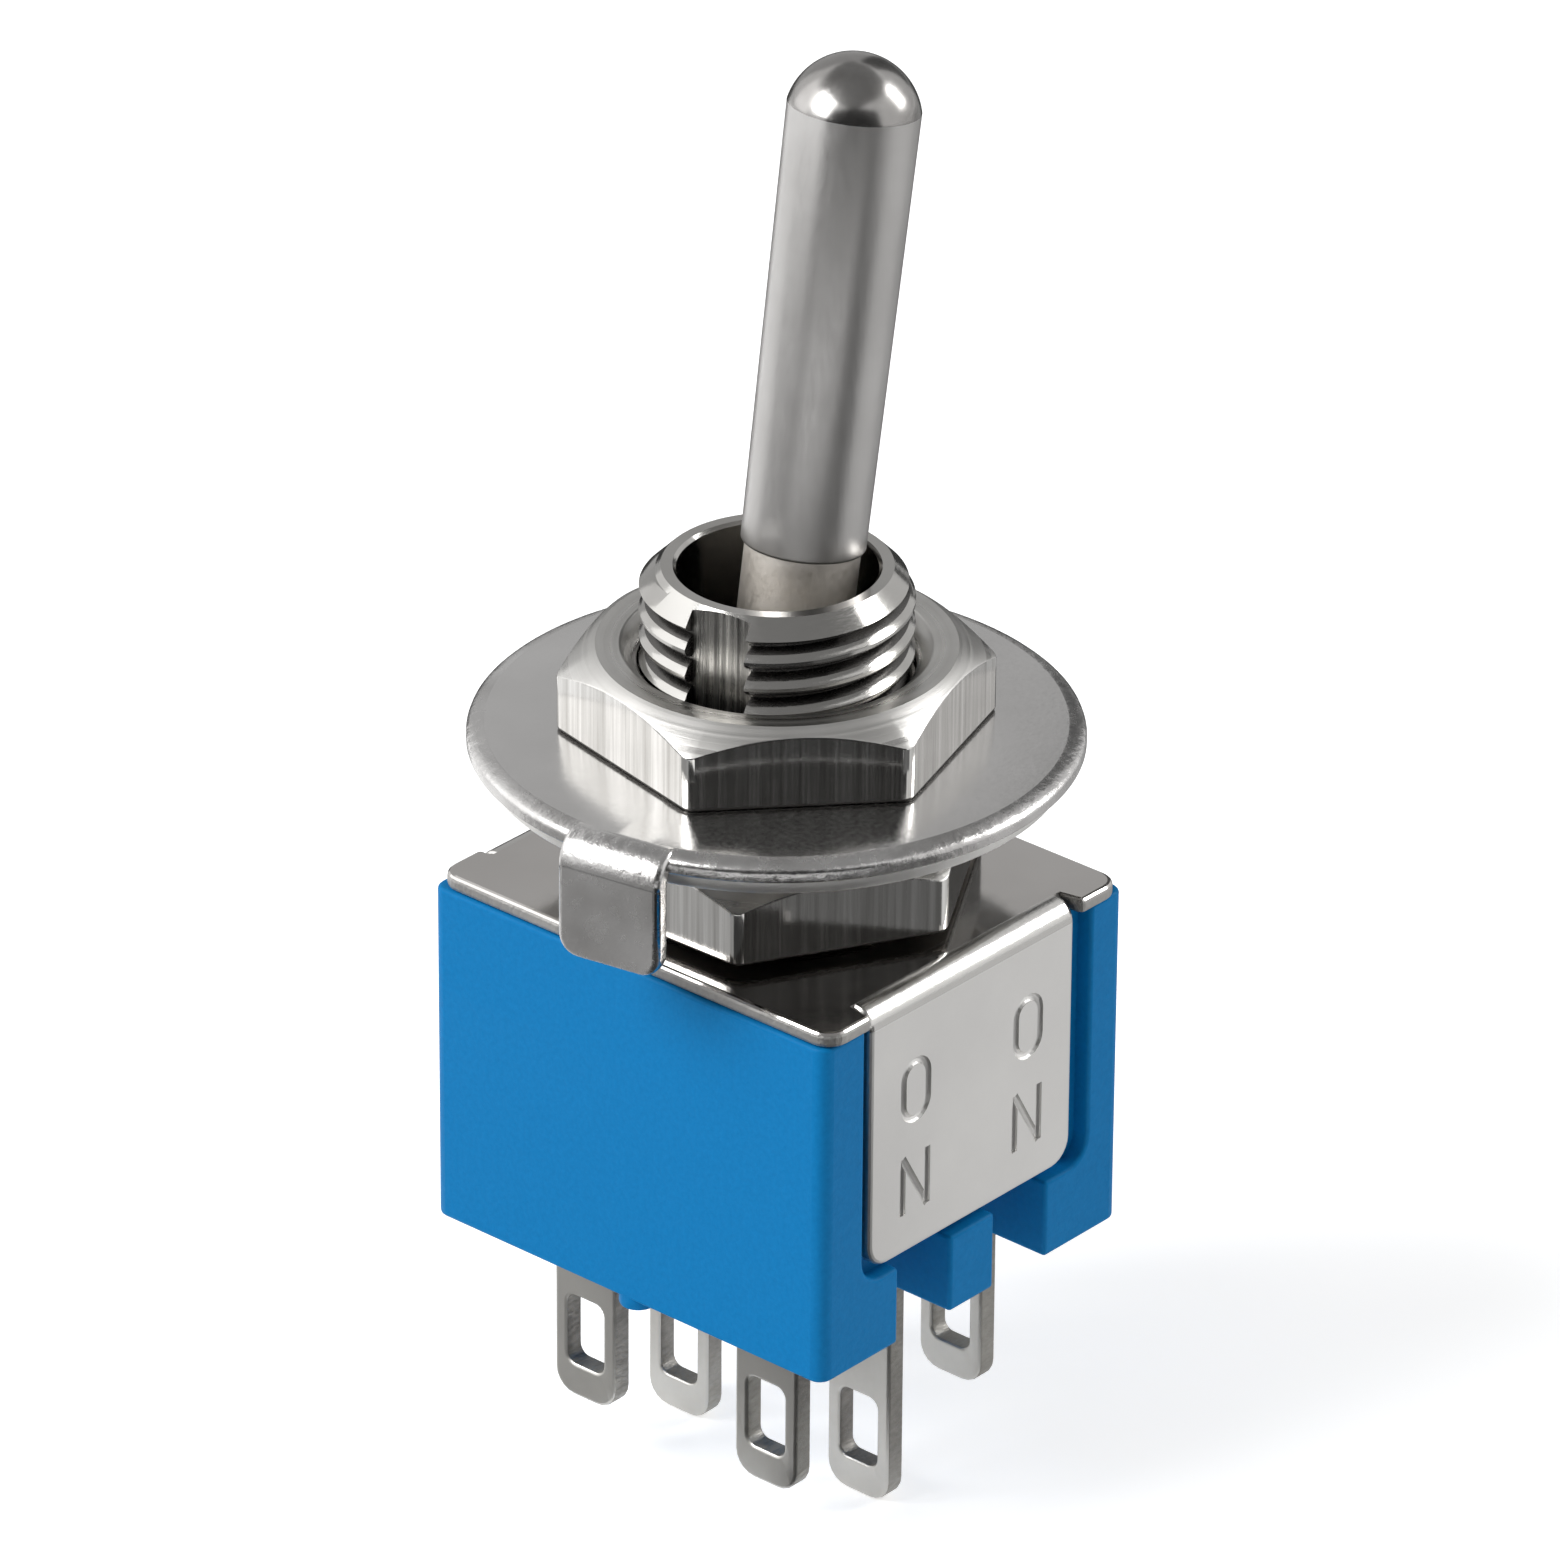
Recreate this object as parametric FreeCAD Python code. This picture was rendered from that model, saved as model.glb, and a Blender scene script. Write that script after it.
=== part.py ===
import FreeCAD, Part
import math
import os
from FreeCAD import Vector

# Sub-miniature panel toggle switch, two poles, two lasting positions.
# Millimetres. The origin is on the bushing axis at the cover's top face, +Z points up
# the bushing, and the lever throws along X. The front is the -Y side. The lever is
# modelled as it rests, thrown towards +X.

# Case
case_length = 8.14
case_width = 9.24
case_height = 6.7
case_corner_radius = 0.27
case_offset = 0.08
cavity_length = 6.3
cavity_width = 6.8
cavity_corner_radius = 0.3
floor_thickness = 0.7
notch_height = 1.6
rib_width = 1.2
leg_width = 2.06
foot_edge_radius = 0.12
divider_width = 0.7
divider_height = 1.05
standoff_radius = 0.35
standoff_height = 0.22

# Folded cover
sheet = 0.3
cover_length = 7.88
cover_front_reach = 4.72
cover_rear_reach = 4.52
cover_corner_radius = 0.42
flap_width = 5.5
flap_length = 5.24
flap_corner_radius = 0.5
bend_radius = 0.12
relief_width = 0.08
recess_side_gap = 0.4
recess_bottom_gap = 0.22
recess_corner_radius = 0.5
sheet_to_case_gap = 0.02

# Letters pressed into the front flap
letter_height = 1.27
letter_width = 0.78
letter_stroke = 0.13
letter_depth = 0.06
letter_offset = 1.52
letter_pitch = 1.85
letters_centre_height = -2.96

# Bushing
thread_radius = 2.43
bushing_height = 6.12
bushing_top_chamfer = 0.38
bore_radius = 1.78
bore_lip_chamfer = 0.06
bore_floor_height = 0.4
throat_radius = 1.3
flange_radius = 3.0
flange_thickness = 0.5
keyway_width = 1.16
keyway_depth = 0.35
keyway_angle = 193.5

# Nuts and washers on the bushing
nut_across_flats = 6.8
nut_thickness = 1.5
nut_corner_radius = 0.25
nut_face_radius = 3.2
nut_chamfer_angle = 33.0
nut_countersink = 0.3
nut_to_thread_gap = 0.03
upper_nut_angle = 197.7
lower_nut_angle = 211.1
lower_nut_height = 0.17
ring_top_height = 3.08
ring_radius = 5.47
ring_thickness = 0.38
ring_edge_radius = 0.15
ring_bore_gap = 0.07
ring_angle = 190.5
key_width = 0.85
key_gap = 0.05
tab_width = 2.05
tab_reach = 5.72
tab_foot_height = 0.75
tab_bend_radius = 0.22
tab_corner_radius = 0.4
lock_washer_radius = 5.2
lock_washer_thickness = 0.34
lock_washer_rim_width = 0.9
lock_washer_tooth_count = 10
lock_washer_tooth_width = 1.0
lock_washer_tooth_twist = 12.0
lock_washer_bore_gap = 0.17
stack_gap = 0.02

# Lever and its pin
pivot_height = 2.0
lever_tilt = 9.0
bat_length = 8.33
bat_tip_radius = 1.18
bat_foot_radius = 1.11
dome_height = 0.94
bat_foot_drop = 0.05
bat_foot_edge_radius = 0.06
neck_radius = 1.03
ball_gap = 0.25
shank_radius = 0.65
shank_depth_in_block = 0.75
pin_radius = 0.4
pin_inset = 0.33
pin_running_gap = 0.03

# Plastic block on the lever's lower end
block_headroom = 0.45
block_length = 2.0
block_end_wall = 0.3
block_edge_radius = 0.2
plunger_roof = 0.25

# Spring plungers
plunger_radius = 0.5
plunger_bore_gap = 0.03
plunger_length = 1.08
plunger_cup_radius = 0.36
plunger_cup_depth = 0.55
plunger_exposed = 0.38
plunger_to_rocker_gap = 0.05

# Plunger springs
spring_wire_radius = 0.05
spring_coil_radius = 0.27
spring_turns = 4
spring_steps_per_turn = 10
spring_wire_sides = 6
spring_end_gap = 0.01

# See-saw contacts
rocker_tilt = 6.0
rocker_sheet = 0.3
rocker_width = 1.3
rocker_reach = 2.75
rocker_web = 0.22
rocker_rise = 0.14
rocker_valley_half_length = 0.9
rocker_seat_gap = 0.03
pad_radius = 0.4
pad_height = 0.27
contact_offset = 2.2
closed_contact_gap = 0.02

# Solder lugs and their contact rivets
lug_pitch = 2.54
row_offset = 2.17
lug_sheet = 0.42
lug_width = 1.45
throw_lug_drop = 3.54
common_lug_drop = 4.89
lug_corner_radius = 0.45
lug_slot_width = 0.88
lug_slot_height = 1.42
lug_slot_foot = 0.66
lug_slot_corner_radius = 0.2
common_fork_width = 1.3
shelf_width = 1.3
shelf_end = 0.5
rivet_head_radius = 0.42
rivet_head_height = 0.2
rivet_shank_radius = 0.2

# Levels and faces that follow from the sizes above
case_top = -sheet
case_bottom = case_top - case_height
floor_underside = case_bottom + notch_height
floor_top = floor_underside + floor_thickness
flap_face = case_width / 2
flap_inner_face = flap_face - sheet
recess_face = flap_inner_face - sheet_to_case_gap
recess_half_width = flap_width / 2 + recess_side_gap
recess_bottom = -flap_length - recess_bottom_gap
flange_bottom = -sheet - flange_thickness
upper_nut_height = ring_top_height
lock_washer_top = ring_top_height - ring_thickness - stack_gap
shelf_top = floor_top + lug_sheet
rivet_top = shelf_top + rivet_head_height
blade_edge_radius = lug_sheet / 2
rocker_seat_radius = blade_edge_radius + rocker_seat_gap
rocker_valley_top = rocker_seat_radius + rocker_web
rocker_wing_top = rocker_valley_top + rocker_rise
pad_bottom = rocker_wing_top - rocker_sheet - pad_height
rocker_tilt_radians = math.radians(rocker_tilt)
rocker_axis_height = (rivet_top + closed_contact_gap
                      + (contact_offset + pad_radius) * math.sin(rocker_tilt_radians)
                      - pad_bottom * math.cos(rocker_tilt_radians))
plunger_tip_height = rocker_axis_height + rocker_valley_top + plunger_to_rocker_gap
block_bottom = plunger_tip_height + plunger_exposed
block_top = flange_bottom - block_headroom
plunger_top = plunger_tip_height + plunger_length
plunger_roof_height = block_top - plunger_roof
plunger_bore_radius = plunger_radius + plunger_bore_gap
block_half_width = row_offset + plunger_bore_radius + block_end_wall
ball_radius = bore_radius - ball_gap
bat_foot_height = bushing_height - bat_foot_drop
bat_shoulder_height = bat_foot_height + bat_length

up = Vector(0, 0, 1)
pivot = Vector(0, 0, pivot_height)
hinge_direction = Vector(0, 1, 0)
throw_direction = Vector(1, 0, 0)
tolerance = 1e-6
straight_cosine = 0.9999


def block_between(x_low, x_high, y_low, y_high, z_low, z_high):
    """Box between two corners."""
    size = Vector(x_high - x_low, y_high - y_low, z_high - z_low)
    return Part.makeBox(size.x, size.y, size.z, Vector(x_low, y_low, z_low))


def centred_block(length, width, z_low, z_high):
    """Box centred on the bushing axis."""
    return block_between(-length / 2, length / 2, -width / 2, width / 2, z_low, z_high)


def upright_cylinder(radius, z_low, z_high, x=0, y=0):
    """Cylinder along Z."""
    return Part.makeCylinder(radius, z_high - z_low, Vector(x, y, z_low), up)


def turned(points):
    """Solid of revolution about the Z axis from (radius, height) points."""
    corners = [Vector(radius, 0, height) for radius, height in points]
    face = Part.Face(Part.makePolygon(corners + corners[:1]))
    return face.revolve(Vector(0, 0, 0), up, 360)


def along_y(points, y_low, y_high):
    """Prism along Y from (x, z) points."""
    corners = [Vector(x, y_low, z) for x, z in points]
    face = Part.Face(Part.makePolygon(corners + corners[:1]))
    return face.extrude(Vector(0, y_high - y_low, 0))


def straight_edges(solid, direction, test=None):
    """Straight edges of a solid that run along a direction and pass a test on their start."""
    found = []
    for edge in solid.Edges:
        if edge.Degenerated or not isinstance(edge.Curve, Part.Line):
            continue
        run = edge.Vertexes[1].Point - edge.Vertexes[0].Point
        if abs(run.dot(direction)) < run.Length * straight_cosine:
            continue
        if test is None or test(edge.Vertexes[0].Point):
            found.append(edge)
    return found


def circular_edges(solid, test):
    """Circular edges of a solid whose circle passes a test."""
    round_ones = []
    for edge in solid.Edges:
        if edge.Degenerated or not isinstance(edge.Curve, Part.Circle):
            continue
        if test(edge.Curve):
            round_ones.append(edge)
    return round_ones


def round_upright_edges(solid, radius):
    """Fillet the vertical edges of a solid."""
    return solid.makeFillet(radius, straight_edges(solid, up))


def is_level(height):
    """Test for points at a height."""
    return lambda point: abs(point.z - height) < tolerance


def rotated_about_bushing(solid, angle):
    """Copy of a solid turned about the bushing axis."""
    copy = solid.copy()
    copy.rotate(Vector(0, 0, 0), up, angle)
    return copy


def thrown(solid):
    """Copy of an upright solid tilted with the lever towards +X."""
    copy = solid.copy()
    copy.rotate(pivot, hinge_direction, lever_tilt)
    return copy


def moved_with_case(solid):
    """Copy of a solid moved to the case's place under the cover."""
    copy = solid.copy()
    copy.translate(Vector(case_offset, 0, 0))
    return copy


def rows():
    """The two poles as (name, y) pairs."""
    return (("front", -row_offset), ("rear", row_offset))


def sides():
    """The two throws of a pole as (name, direction) pairs."""
    return (("left", -1), ("right", 1))


def flap_recess(direction):
    """Space that a cover flap takes in the case's front or rear face."""
    outside = case_width / 2 + sheet
    y_low = min(direction * recess_face, direction * outside)
    y_high = max(direction * recess_face, direction * outside)
    space = block_between(-recess_half_width, recess_half_width, y_low, y_high,
                          recess_bottom, case_top)
    lower = straight_edges(space, hinge_direction, is_level(recess_bottom))
    space = space.makeFillet(recess_corner_radius, lower)
    lead = bend_radius + sheet_to_case_gap
    corners = [
        Vector(-recess_half_width, direction * (recess_face - lead), case_top),
        Vector(-recess_half_width, direction * outside, case_top),
        Vector(-recess_half_width, direction * outside, case_top - lead),
        Vector(-recess_half_width, direction * recess_face, case_top - lead),
    ]
    wedge = Part.Face(Part.makePolygon(corners + corners[:1]))
    return space.fuse(wedge.extrude(Vector(2 * recess_half_width, 0, 0)))


def underside_notch(direction):
    """Channel across the underside between the rib and an outer leg."""
    near = direction * rib_width / 2
    far = direction * (case_length / 2 - leg_width)
    return block_between(min(near, far), max(near, far), -case_width, case_width,
                         case_bottom - standoff_height, floor_underside)


def lug_passage(x, y, width):
    """Slot that a lug fills through a leg or the rib and through the floor."""
    return block_between(x - lug_sheet / 2, x + lug_sheet / 2, y - width / 2, y + width / 2,
                         case_bottom - standoff_height, floor_top)


def make_case():
    """Moulded case: hollow box on two legs and a rib, with recesses for the flaps."""
    case = centred_block(case_length, case_width, case_bottom, case_top)
    case = round_upright_edges(case, case_corner_radius)
    cavity = centred_block(cavity_length, cavity_width, floor_top, case_top)
    case = case.cut(round_upright_edges(cavity, cavity_corner_radius))
    for direction in (-1, 1):
        case = case.cut(flap_recess(direction))
        case = case.cut(underside_notch(direction))
    foot_edges = straight_edges(case, hinge_direction, is_level(case_bottom))
    case = case.makeFillet(foot_edge_radius, foot_edges)
    divider = block_between(-cavity_length / 2, cavity_length / 2, -divider_width / 2,
                            divider_width / 2, floor_top, floor_top + divider_height)
    case = case.fuse(divider)
    for direction in (-1, 1):
        pip_x = direction * (case_length / 2 - standoff_radius)
        pip = upright_cylinder(standoff_radius, case_bottom - standoff_height,
                               floor_underside, pip_x)
        case = case.fuse(pip)
    for row_name, y in rows():
        case = case.cut(lug_passage(0, y, lug_width))
        for side_name, direction in sides():
            case = case.cut(lug_passage(direction * lug_pitch, y, lug_width))
    return case.removeSplitter()


def flap_profile(direction):
    """Bent strip from the cover's plate down one side of the case."""
    outer = bend_radius + sheet
    bend_start = flap_face - outer
    arc_half = math.sqrt(0.5)

    def at(y, z):
        return Vector(-flap_width / 2, direction * y, z)

    centre_z = -outer
    outer_middle = at(bend_start + outer * arc_half, centre_z + outer * arc_half)
    inner_middle = at(bend_start + bend_radius * arc_half, centre_z + bend_radius * arc_half)
    edges = [
        Part.makeLine(at(0, 0), at(bend_start, 0)),
        Part.Arc(at(bend_start, 0), outer_middle, at(flap_face, centre_z)).toShape(),
        Part.makeLine(at(flap_face, centre_z), at(flap_face, -flap_length)),
        Part.makeLine(at(flap_face, -flap_length), at(flap_inner_face, -flap_length)),
        Part.makeLine(at(flap_inner_face, -flap_length), at(flap_inner_face, centre_z)),
        Part.Arc(at(flap_inner_face, centre_z), inner_middle, at(bend_start, -sheet)).toShape(),
        Part.makeLine(at(bend_start, -sheet), at(0, -sheet)),
        Part.makeLine(at(0, -sheet), at(0, 0)),
    ]
    return Part.Face(Part.Wire(edges)).extrude(Vector(flap_width, 0, 0))


def letter_o(x, z):
    """Ring-shaped groove of the letter O, taller than wide, on the front flap."""
    def loop(inset):
        half_width = letter_width / 2 - inset
        half_height = letter_height / 2 - inset
        straight = half_height - half_width
        y = -flap_face - sheet
        left_low = Vector(x - half_width, y, z - straight)
        left_high = Vector(x - half_width, y, z + straight)
        right_low = Vector(x + half_width, y, z - straight)
        right_high = Vector(x + half_width, y, z + straight)
        edges = [
            Part.makeLine(left_low, left_high),
            Part.Arc(left_high, Vector(x, y, z + half_height), right_high).toShape(),
            Part.makeLine(right_high, right_low),
            Part.Arc(right_low, Vector(x, y, z - half_height), left_low).toShape(),
        ]
        return Part.Face(Part.Wire(edges)).extrude(Vector(0, sheet + letter_depth, 0))
    return loop(0).cut(loop(letter_stroke))


def letter_n(x, z):
    """Groove of the letter N: two uprights and a slanting stroke."""
    left = x - letter_width / 2
    right = x + letter_width / 2
    low = z - letter_height / 2
    high = z + letter_height / 2
    y_low = -flap_face - sheet
    y_high = -flap_face + letter_depth
    stroke_height = letter_stroke * letter_height / letter_width
    slant = [(left, high), (left, high - 2 * stroke_height), (right, low),
             (right, low + 2 * stroke_height)]
    letter = along_y(slant, y_low, y_high)
    for edge in (left, right - letter_stroke):
        upright = block_between(edge, edge + letter_stroke, y_low, y_high, low, high)
        letter = letter.fuse(upright)
    return letter.removeSplitter()


def make_cover():
    """Folded metal cover: a top plate with a flap down the front and one down the rear."""
    plate = block_between(-cover_length / 2, cover_length / 2, -cover_front_reach,
                          cover_rear_reach, -sheet, 0)
    plate = round_upright_edges(plate, cover_corner_radius)
    bend_start = flap_face - bend_radius - sheet
    cut_half_width = flap_width / 2 + relief_width
    for direction in (-1, 1):
        y_low = min(direction * bend_start, direction * case_width)
        y_high = max(direction * bend_start, direction * case_width)
        plate = plate.cut(block_between(-cut_half_width, cut_half_width, y_low, y_high,
                                        -2 * sheet, sheet))
    cover = plate
    for direction in (-1, 1):
        flap = flap_profile(direction)
        lower = straight_edges(flap, hinge_direction, is_level(-flap_length))
        cover = cover.fuse(flap.makeFillet(flap_corner_radius, lower))
    for side in (-1, 1):
        x = side * letter_offset
        cover = cover.cut(letter_o(x, letters_centre_height + letter_pitch / 2))
        cover = cover.cut(letter_n(x, letters_centre_height - letter_pitch / 2))
    cover = cover.cut(upright_cylinder(thread_radius, -2 * sheet, sheet))
    return cover.removeSplitter()


def make_bushing():
    """Turned bushing with an outside thread, a keyway and a flange under the cover."""
    chamfer = bushing_top_chamfer
    body = turned([
        (throat_radius, flange_bottom),
        (flange_radius, flange_bottom),
        (flange_radius, -sheet),
        (thread_radius, -sheet),
        (thread_radius, bushing_height - chamfer),
        (thread_radius - chamfer, bushing_height),
        (bore_radius + bore_lip_chamfer, bushing_height),
        (bore_radius, bushing_height - bore_lip_chamfer),
        (bore_radius, bore_floor_height),
        (throat_radius, bore_floor_height),
    ])
    keyway = block_between(thread_radius - keyway_depth, 2 * thread_radius,
                           -keyway_width / 2, keyway_width / 2, -sheet, 2 * bushing_height)
    body = body.cut(rotated_about_bushing(keyway, keyway_angle))
    pin_hole = Part.makeCylinder(pin_radius, 4 * thread_radius,
                                 Vector(0, -2 * thread_radius, pivot_height),
                                 hinge_direction)
    return body.cut(pin_hole)


def make_nut(height, angle):
    """Hexagon nut with rounded corners, a turned top edge and two countersinks."""
    corner = nut_across_flats / math.sqrt(3)
    points = [Vector(corner * math.cos(math.radians(60 * step)),
                     corner * math.sin(math.radians(60 * step)), height)
              for step in range(7)]
    nut = Part.Face(Part.makePolygon(points)).extrude(Vector(0, 0, nut_thickness))
    nut = round_upright_edges(nut, nut_corner_radius)
    top = height + nut_thickness
    outside = corner + nut_corner_radius
    drop = (outside - nut_face_radius) * math.tan(math.radians(nut_chamfer_angle))
    hood = turned([(0, height), (outside, height), (outside, top - drop),
                   (nut_face_radius, top), (0, top)])
    nut = nut.common(hood)
    hole = thread_radius + nut_to_thread_gap
    sink = hole + nut_countersink
    bore = turned([(0, height), (sink, height), (hole, height + nut_countersink),
                   (hole, top - nut_countersink), (sink, top), (0, top)])
    return rotated_about_bushing(nut.cut(bore), angle)


def make_locking_ring():
    """Flat ring with a key for the bushing's keyway and a tab bent down at its rim."""
    low = ring_top_height - ring_thickness
    hole = thread_radius + ring_bore_gap
    ring = upright_cylinder(ring_radius, low, ring_top_height)
    ring = ring.makeFillet(ring_edge_radius, circular_edges(ring, lambda circle: True))
    ring = ring.cut(upright_cylinder(hole, low - ring_thickness, ring_top_height + ring_thickness))
    key_start = thread_radius - keyway_depth + key_gap
    key = block_between(key_start, hole + ring_thickness, -key_width / 2, key_width / 2,
                        low, ring_top_height)
    ring = ring.fuse(key)
    outer = tab_bend_radius + ring_thickness
    bend_start = tab_reach - outer
    arc_half = math.sqrt(0.5)
    centre_z = ring_top_height - outer

    def at(x, z):
        return Vector(x, -tab_width / 2, z)

    root = ring_radius - 3 * ring_thickness
    inner_face = tab_reach - ring_thickness
    outer_middle = at(bend_start + outer * arc_half, centre_z + outer * arc_half)
    inner_middle = at(bend_start + tab_bend_radius * arc_half,
                      centre_z + tab_bend_radius * arc_half)
    edges = [
        Part.makeLine(at(root, ring_top_height), at(bend_start, ring_top_height)),
        Part.Arc(at(bend_start, ring_top_height), outer_middle,
                 at(tab_reach, centre_z)).toShape(),
        Part.makeLine(at(tab_reach, centre_z), at(tab_reach, tab_foot_height)),
        Part.makeLine(at(tab_reach, tab_foot_height), at(inner_face, tab_foot_height)),
        Part.makeLine(at(inner_face, tab_foot_height), at(inner_face, centre_z)),
        Part.Arc(at(inner_face, centre_z), inner_middle, at(bend_start, low)).toShape(),
        Part.makeLine(at(bend_start, low), at(root, low)),
        Part.makeLine(at(root, low), at(root, ring_top_height)),
    ]
    tab = Part.Face(Part.Wire(edges)).extrude(Vector(0, tab_width, 0))
    lower = straight_edges(tab, throw_direction, is_level(tab_foot_height))
    tab = tab.makeFillet(tab_corner_radius, lower)
    return rotated_about_bushing(ring.fuse(tab).removeSplitter(), ring_angle)


def make_lock_washer():
    """Spring washer with twisted teeth on its inner edge."""
    low = lock_washer_top - lock_washer_thickness
    rim_radius = lock_washer_radius - lock_washer_rim_width
    hole = thread_radius + lock_washer_bore_gap
    washer = upright_cylinder(lock_washer_radius, low, lock_washer_top)
    washer = washer.cut(upright_cylinder(rim_radius, low - lock_washer_thickness,
                                         lock_washer_top + lock_washer_thickness))
    half_width = lock_washer_tooth_width / 2
    middle = (low + lock_washer_top) / 2
    half_thickness = lock_washer_thickness / 2
    twist = math.radians(lock_washer_tooth_twist)
    tooth_rise = half_width * math.sin(twist) + half_thickness * math.cos(twist)
    tooth_drop = tooth_rise - half_thickness
    tooth = block_between(hole, rim_radius + lock_washer_rim_width / 3, -half_width,
                          half_width, middle - half_thickness, middle + half_thickness)
    tooth.rotate(Vector(0, 0, middle), Vector(1, 0, 0), lock_washer_tooth_twist)
    tooth.translate(Vector(0, 0, -tooth_drop))
    for step in range(lock_washer_tooth_count):
        angle = 360 * step / lock_washer_tooth_count
        washer = washer.fuse(rotated_about_bushing(tooth, angle))
    clearing = upright_cylinder(hole, low - lock_washer_thickness,
                                lock_washer_top + lock_washer_thickness)
    return washer.cut(clearing).removeSplitter()


def make_lever():
    """Turned lever: domed bat, neck, ball on the pin and a shank in the block."""
    tip_sphere = (bat_tip_radius ** 2 + dome_height ** 2) / (2 * dome_height)
    apex = bat_shoulder_height + dome_height
    dome_middle_angle = math.asin(bat_tip_radius / tip_sphere) / 2
    dome_middle = Vector(tip_sphere * math.sin(dome_middle_angle), 0,
                         apex - tip_sphere * (1 - math.cos(dome_middle_angle)))
    shank_bottom = block_top - shank_depth_in_block
    neck_end = pivot_height + math.sqrt(ball_radius ** 2 - neck_radius ** 2)
    ball_end = pivot_height - math.sqrt(ball_radius ** 2 - shank_radius ** 2)
    shoulder = Vector(bat_tip_radius, 0, bat_shoulder_height)
    foot_outside = Vector(bat_foot_radius, 0, bat_foot_height)
    edges = [
        Part.makeLine(Vector(0, 0, shank_bottom), Vector(shank_radius, 0, shank_bottom)),
        Part.makeLine(Vector(shank_radius, 0, shank_bottom), Vector(shank_radius, 0, ball_end)),
        Part.Arc(Vector(shank_radius, 0, ball_end), Vector(ball_radius, 0, pivot_height),
                 Vector(neck_radius, 0, neck_end)).toShape(),
        Part.makeLine(Vector(neck_radius, 0, neck_end), Vector(neck_radius, 0, bat_foot_height)),
        Part.makeLine(Vector(neck_radius, 0, bat_foot_height), foot_outside),
        Part.makeLine(foot_outside, shoulder),
        Part.Arc(shoulder, dome_middle, Vector(0, 0, apex)).toShape(),
        Part.makeLine(Vector(0, 0, apex), Vector(0, 0, shank_bottom)),
    ]
    lever = Part.Face(Part.Wire(edges)).revolve(Vector(0, 0, 0), up, 360)
    foot_edge = circular_edges(lever, lambda circle: (
        abs(circle.Center.z - bat_foot_height) < tolerance
        and abs(circle.Radius - bat_foot_radius) < tolerance))
    if bat_foot_radius - neck_radius > bat_foot_edge_radius:
        lever = lever.makeFillet(bat_foot_edge_radius, foot_edge)
    eye = Part.makeCylinder(pin_radius + pin_running_gap, 4 * ball_radius,
                            Vector(0, -2 * ball_radius, pivot_height), hinge_direction)
    return thrown(lever.cut(eye))


def make_pivot_pin():
    """Cross pin that holds the lever's ball in the bushing."""
    half_length = thread_radius - pin_inset
    return Part.makeCylinder(pin_radius, 2 * half_length,
                             Vector(0, -half_length, pivot_height), hinge_direction)


def make_actuator_block():
    """Plastic block on the lever's shank that carries both spring plungers."""
    block = centred_block(block_length, 2 * block_half_width, block_bottom, block_top)
    block = round_upright_edges(block, block_edge_radius)
    shank_hole = upright_cylinder(shank_radius, block_top - shank_depth_in_block, block_top)
    block = block.cut(shank_hole)
    for row_name, y in rows():
        block = block.cut(upright_cylinder(plunger_bore_radius, block_bottom,
                                           plunger_roof_height, 0, y))
    return thrown(block)


def make_plunger(y):
    """Hollow plunger with a round tip that presses on a see-saw contact."""
    centre = plunger_tip_height + plunger_radius
    barrel = upright_cylinder(plunger_radius, centre, plunger_top, 0, y)
    tip = Part.makeSphere(plunger_radius, Vector(0, y, centre))
    cup = upright_cylinder(plunger_cup_radius, plunger_top - plunger_cup_depth,
                           plunger_top, 0, y)
    return thrown(barrel.fuse(tip).cut(cup).removeSplitter())


def wire_section(angle, height, y):
    """Corners of the spring wire's section at an angle round the coil."""
    corners = []
    for side in range(spring_wire_sides):
        turn = 2 * math.pi * side / spring_wire_sides
        radius = spring_coil_radius + spring_wire_radius * math.cos(turn)
        rise = spring_wire_radius * math.sin(turn)
        corners.append(Vector(radius * math.cos(angle), y + radius * math.sin(angle),
                              height + rise))
    return corners


def flat_face(corners):
    """Flat face with straight edges."""
    return Part.Face(Part.makePolygon(corners + corners[:1]))


def make_plunger_spring(y):
    """Coil spring between the block's roof and the plunger's cup, with facets."""
    low = plunger_top - plunger_cup_depth + spring_wire_radius + spring_end_gap
    high = plunger_roof_height - spring_wire_radius - spring_end_gap
    steps = spring_turns * spring_steps_per_turn
    sections = []
    for step in range(steps + 1):
        angle = 2 * math.pi * step / spring_steps_per_turn
        sections.append(wire_section(angle, low + (high - low) * step / steps, y))
    faces = [flat_face(sections[0]), flat_face(sections[-1])]
    for near, far in zip(sections, sections[1:]):
        for side in range(spring_wire_sides):
            after = (side + 1) % spring_wire_sides
            faces.append(flat_face([near[side], near[after], far[side]]))
            faces.append(flat_face([near[after], far[after], far[side]]))
    skin = Part.makeCompound(faces)
    skin.sewShape()
    coil = Part.Solid(skin.Shells[0])
    if coil.Volume < 0:
        coil.reverse()
    return thrown(coil)


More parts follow.
